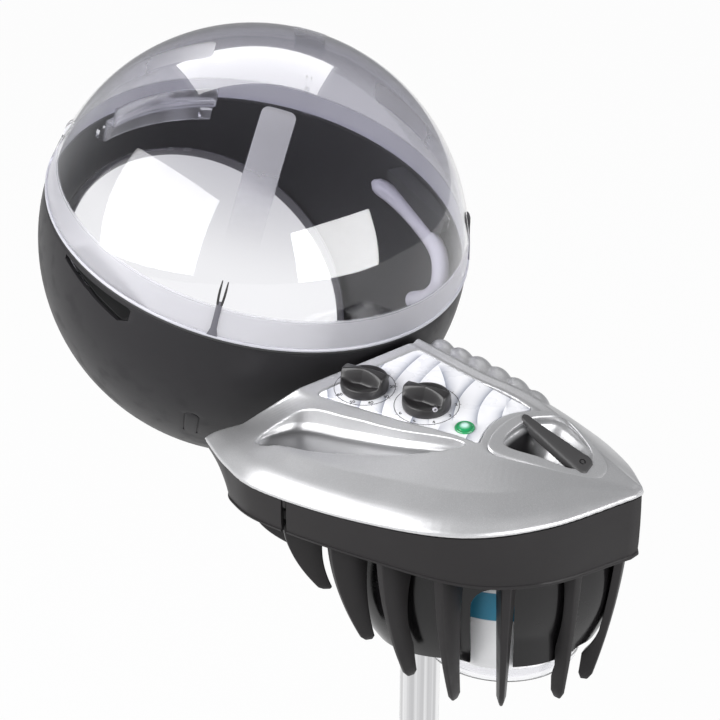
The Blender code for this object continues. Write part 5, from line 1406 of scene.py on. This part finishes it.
# %% Claw guard
CLAW_BEARINGS = (147.6, 155.9, 167.7, 182.1, 201.2, 226.1, 263.8, 292.4, 375.0, 393.0, 411.0)
CLAW_INSET = 4.5
FLOOR_INSET = 5.0
FLOOR_THICK = 4.0
FLOOR_TUCK = 30.0 / 28.0
FLOOR_BORES = ((JAR_AT, JAR_ROOM), (Vector((0, 0)), 26.1))
floor_rim = [tuck(point, FLOOR_TUCK) for point in shrink(plan, FLOOR_INSET)]
base = tube([[at_edge(p, FLOOR_Z + rise) for p in floor_rim] for rise in (0.0, FLOOR_THICK)])
for spot, radius in FLOOR_BORES:
    carve(base, lathe(Matrix.Translation(at_edge(spot, FLOOR_Z)), ((radius, -25), (radius, 25)), 96))
claws = []
for bearing in CLAW_BEARINGS:
    root = on_bearing(floor_rim, radians(bearing))
    inward = (JAR_AT - root).normalized()
    claws.append(claw(root + inward * CLAW_INSET, inward))
ready(join(base, *claws), "claw_floor", "body", dark_casing, "claw_guard", slot="dark_casing")

# %% [markdown]
# Inside the claws a smooth dark shroud shields the hot jar. It swells toward the near side, stops short of the jar's
# bottom, and has an arched window for reading the water level.

# %% Inner shroud
SHROUD_TOP = -26.3
SHROUD_BOTTOM = -144.0
SHROUD_WALL = 3.0
SHROUD_ROWS = 32
SHROUD_SIDES = 128
MAST_ROOM = 27.6
CUT_BELOW = -170
WINDOW_TURN = radians(219.0)
WINDOW_HALF = 17.0
WINDOW_SPRING = -87.0
WINDOW_CUT = (33, 132)
jar_axes = Matrix.Translation(at_edge(JAR_AT))
rows = []
for k in range(SHROUD_ROWS + 1):
    level = SHROUD_TOP + (SHROUD_BOTTOM - SHROUD_TOP) * k / SHROUD_ROWS
    rows.append([jar_axes @ Vector((shroud_radius(a, level) * cos(a), shroud_radius(a, level) * sin(a), level))
                 for a in full_turn(SHROUD_SIDES)])
shroud = tube(rows, caps=False)
modify(shroud, 'SOLIDIFY', thickness=SHROUD_WALL * MM, offset=-1.0)
carve(shroud, lathe(Matrix.Translation((0, 0, EDGE_Z)), ((MAST_ROOM, CUT_BELOW), (MAST_ROOM, 0)), 64))
window_axes = jar_axes @ Matrix.Rotation(WINDOW_TURN, 4, 'Z')
arc = [pi * k / 24 for k in range(25)]
outline = [(WINDOW_HALF * cos(a), WINDOW_SPRING + WINDOW_HALF * sin(a)) for a in arc]
outline += [(-WINDOW_HALF, CUT_BELOW), (WINDOW_HALF, CUT_BELOW)]
carve(shroud, tube([[window_axes @ Vector((reach, y, z)) for y, z in outline] for reach in WINDOW_CUT]))
round_edges(shroud, 0.8, angle=50)
ready(shroud, "jar_shroud", "body", dark_gloss, "inner_shroud", slot="dark_casing")

# %% [markdown]
# The water jar is a clear pot with a rounded bottom. A plain white label with a blue level band is stuck on its front,
# where the window shows it.

# %% Water jar
JAR_PROFILE = ((0.6, -167.0), (56.0, -167.0), (60.5, -166.2), (64.0, -163.8), (65.6, -160.5), (66.0, -157.0),
               (66.0, -13.0), (63.0, -13.0), (63.0, -156.0), (62.2, -160.0), (59.5, -163.0), (56.0, -164.0),
               (0.6, -164.0))
CARD_TURNS = (196.0, 262.0)
CARD_STEPS = 24
CARD_PROFILE = ((66.5, -150.0), (66.5, -60.0), (66.1, -60.0), (66.1, -150.0))
CARD_BAND = ((-0.1060, -0.1050), (-0.0800, -0.0810))
CARD_WHITES = ((0.90, 0.90, 0.91), (0.95, 0.95, 0.955))
CARD_BLUE = (0.03, 0.24, 0.38)
ready(lathe(jar_axes, JAR_PROFILE, 96), "water_jar", "jar", part_clear, "boiler_jar", slot="clear_plastic")

card_print, do, shader = new_finish("level_card")
place = do.place((0, 0, EDGE_Z))
fibre = do.noise(place, 500.0)
white = do.blend(fibre, *CARD_WHITES)
do.put(shader, {"Base Color": do.blend(do.within(do.axes(place)["Z"], *CARD_BAND), white, CARD_BLUE),
                "Roughness": do.bend(fibre, 0.3, 0.7, 0.5, 0.6)})
rows = []
for k in range(CARD_STEPS + 1):
    a = radians(CARD_TURNS[0] + (CARD_TURNS[1] - CARD_TURNS[0]) * k / CARD_STEPS)
    rows.append([jar_axes @ Vector((radius * cos(a), radius * sin(a), level)) for radius, level in CARD_PROFILE])
ready(tube(rows), "level_card", "jar", card_print, slot="panel_plastic")

# %% [markdown]
# The mast is a plain chromed tube. It is turned with many sides, so its long reflections stay straight, and its ends
# are rounded. Long streaks of painted reflection run along it: a noise stretched along the mast makes the chrome's
# colour lighter and darker.

# %% Mast
STREAK_STRETCH = (150.0, 150.0, 0.6)
CHROME_PAINTED_REFLECTION = ((0.56, 0.56, 0.57), (0.84, 0.84, 0.85))
MAST_PROFILE = ((18.0, 6.3), (18.0, 331.0), (16.0, 331.0), (16.0, 6.3))

streaked_chrome, do, shader = new_finish("chrome_painted_reflection")
place = do.place()
reflection_streak = do.noise(do.node("Mapping", {"Vector": place, "Scale": STREAK_STRETCH}).outputs["Vector"], 1.0)
# Painted reflection: the streak noise moves the chrome's colour between a darker and a lighter grey.
do.put(shader, {"Base Color": do.blend(do.bend(reflection_streak, 0.36, 0.62), *CHROME_PAINTED_REFLECTION), "Metallic": 1.0,
                "Roughness": do.bend(do.noise(place, 40.0, 3.0), 0.4, 0.8, 0.06, 0.11)})
mast = lathe(Matrix.Identity(4), MAST_PROFILE, 128, ring=True)
round_edges(mast, 0.5, angle=60)
ready(mast, "chrome_mast", "mast", streaked_chrome, "mast_tube", slot="chrome")

# %% [markdown]
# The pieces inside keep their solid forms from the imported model. Each gets the finish of its real material.

# %% Finishes of the inner pieces
INNER = ((steel_bright, ("board_spacer_1", "board_spacer_2", "board_spacer_3", "board_spacer_4", "heater_element",
                         "level_probe_1", "level_probe_2", "tilt_pin_1", "tilt_pin_2")),
         (grey_moulding, ("boiler_head", "steam_duct", "steam_inlet", "steam_regulator", "timer_unit", "swivel_bush")),
         (dark_casing, ("element_plug", "hood_neck", "lamp_socket", "swivel_screw")),
         (rubber_black, ("jar_gasket", "mast_end_plug", "hand_cup_left", "hand_cup_right")),
         (part_clear, ("deflector_bracket_1", "deflector_bracket_2")),
         (cast_alloy, ("yoke_casting",)),
         (board_green, ("control_board",)))
for look, names in INNER:
    for name in names:
        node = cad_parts[name]
        node.data.materials.clear()
        node.data.materials.append(look)
print("inner pieces", sum(len(names) for look, names in INNER))

# %% [markdown]
# At the end the selection is cleared.

# %% End
only()
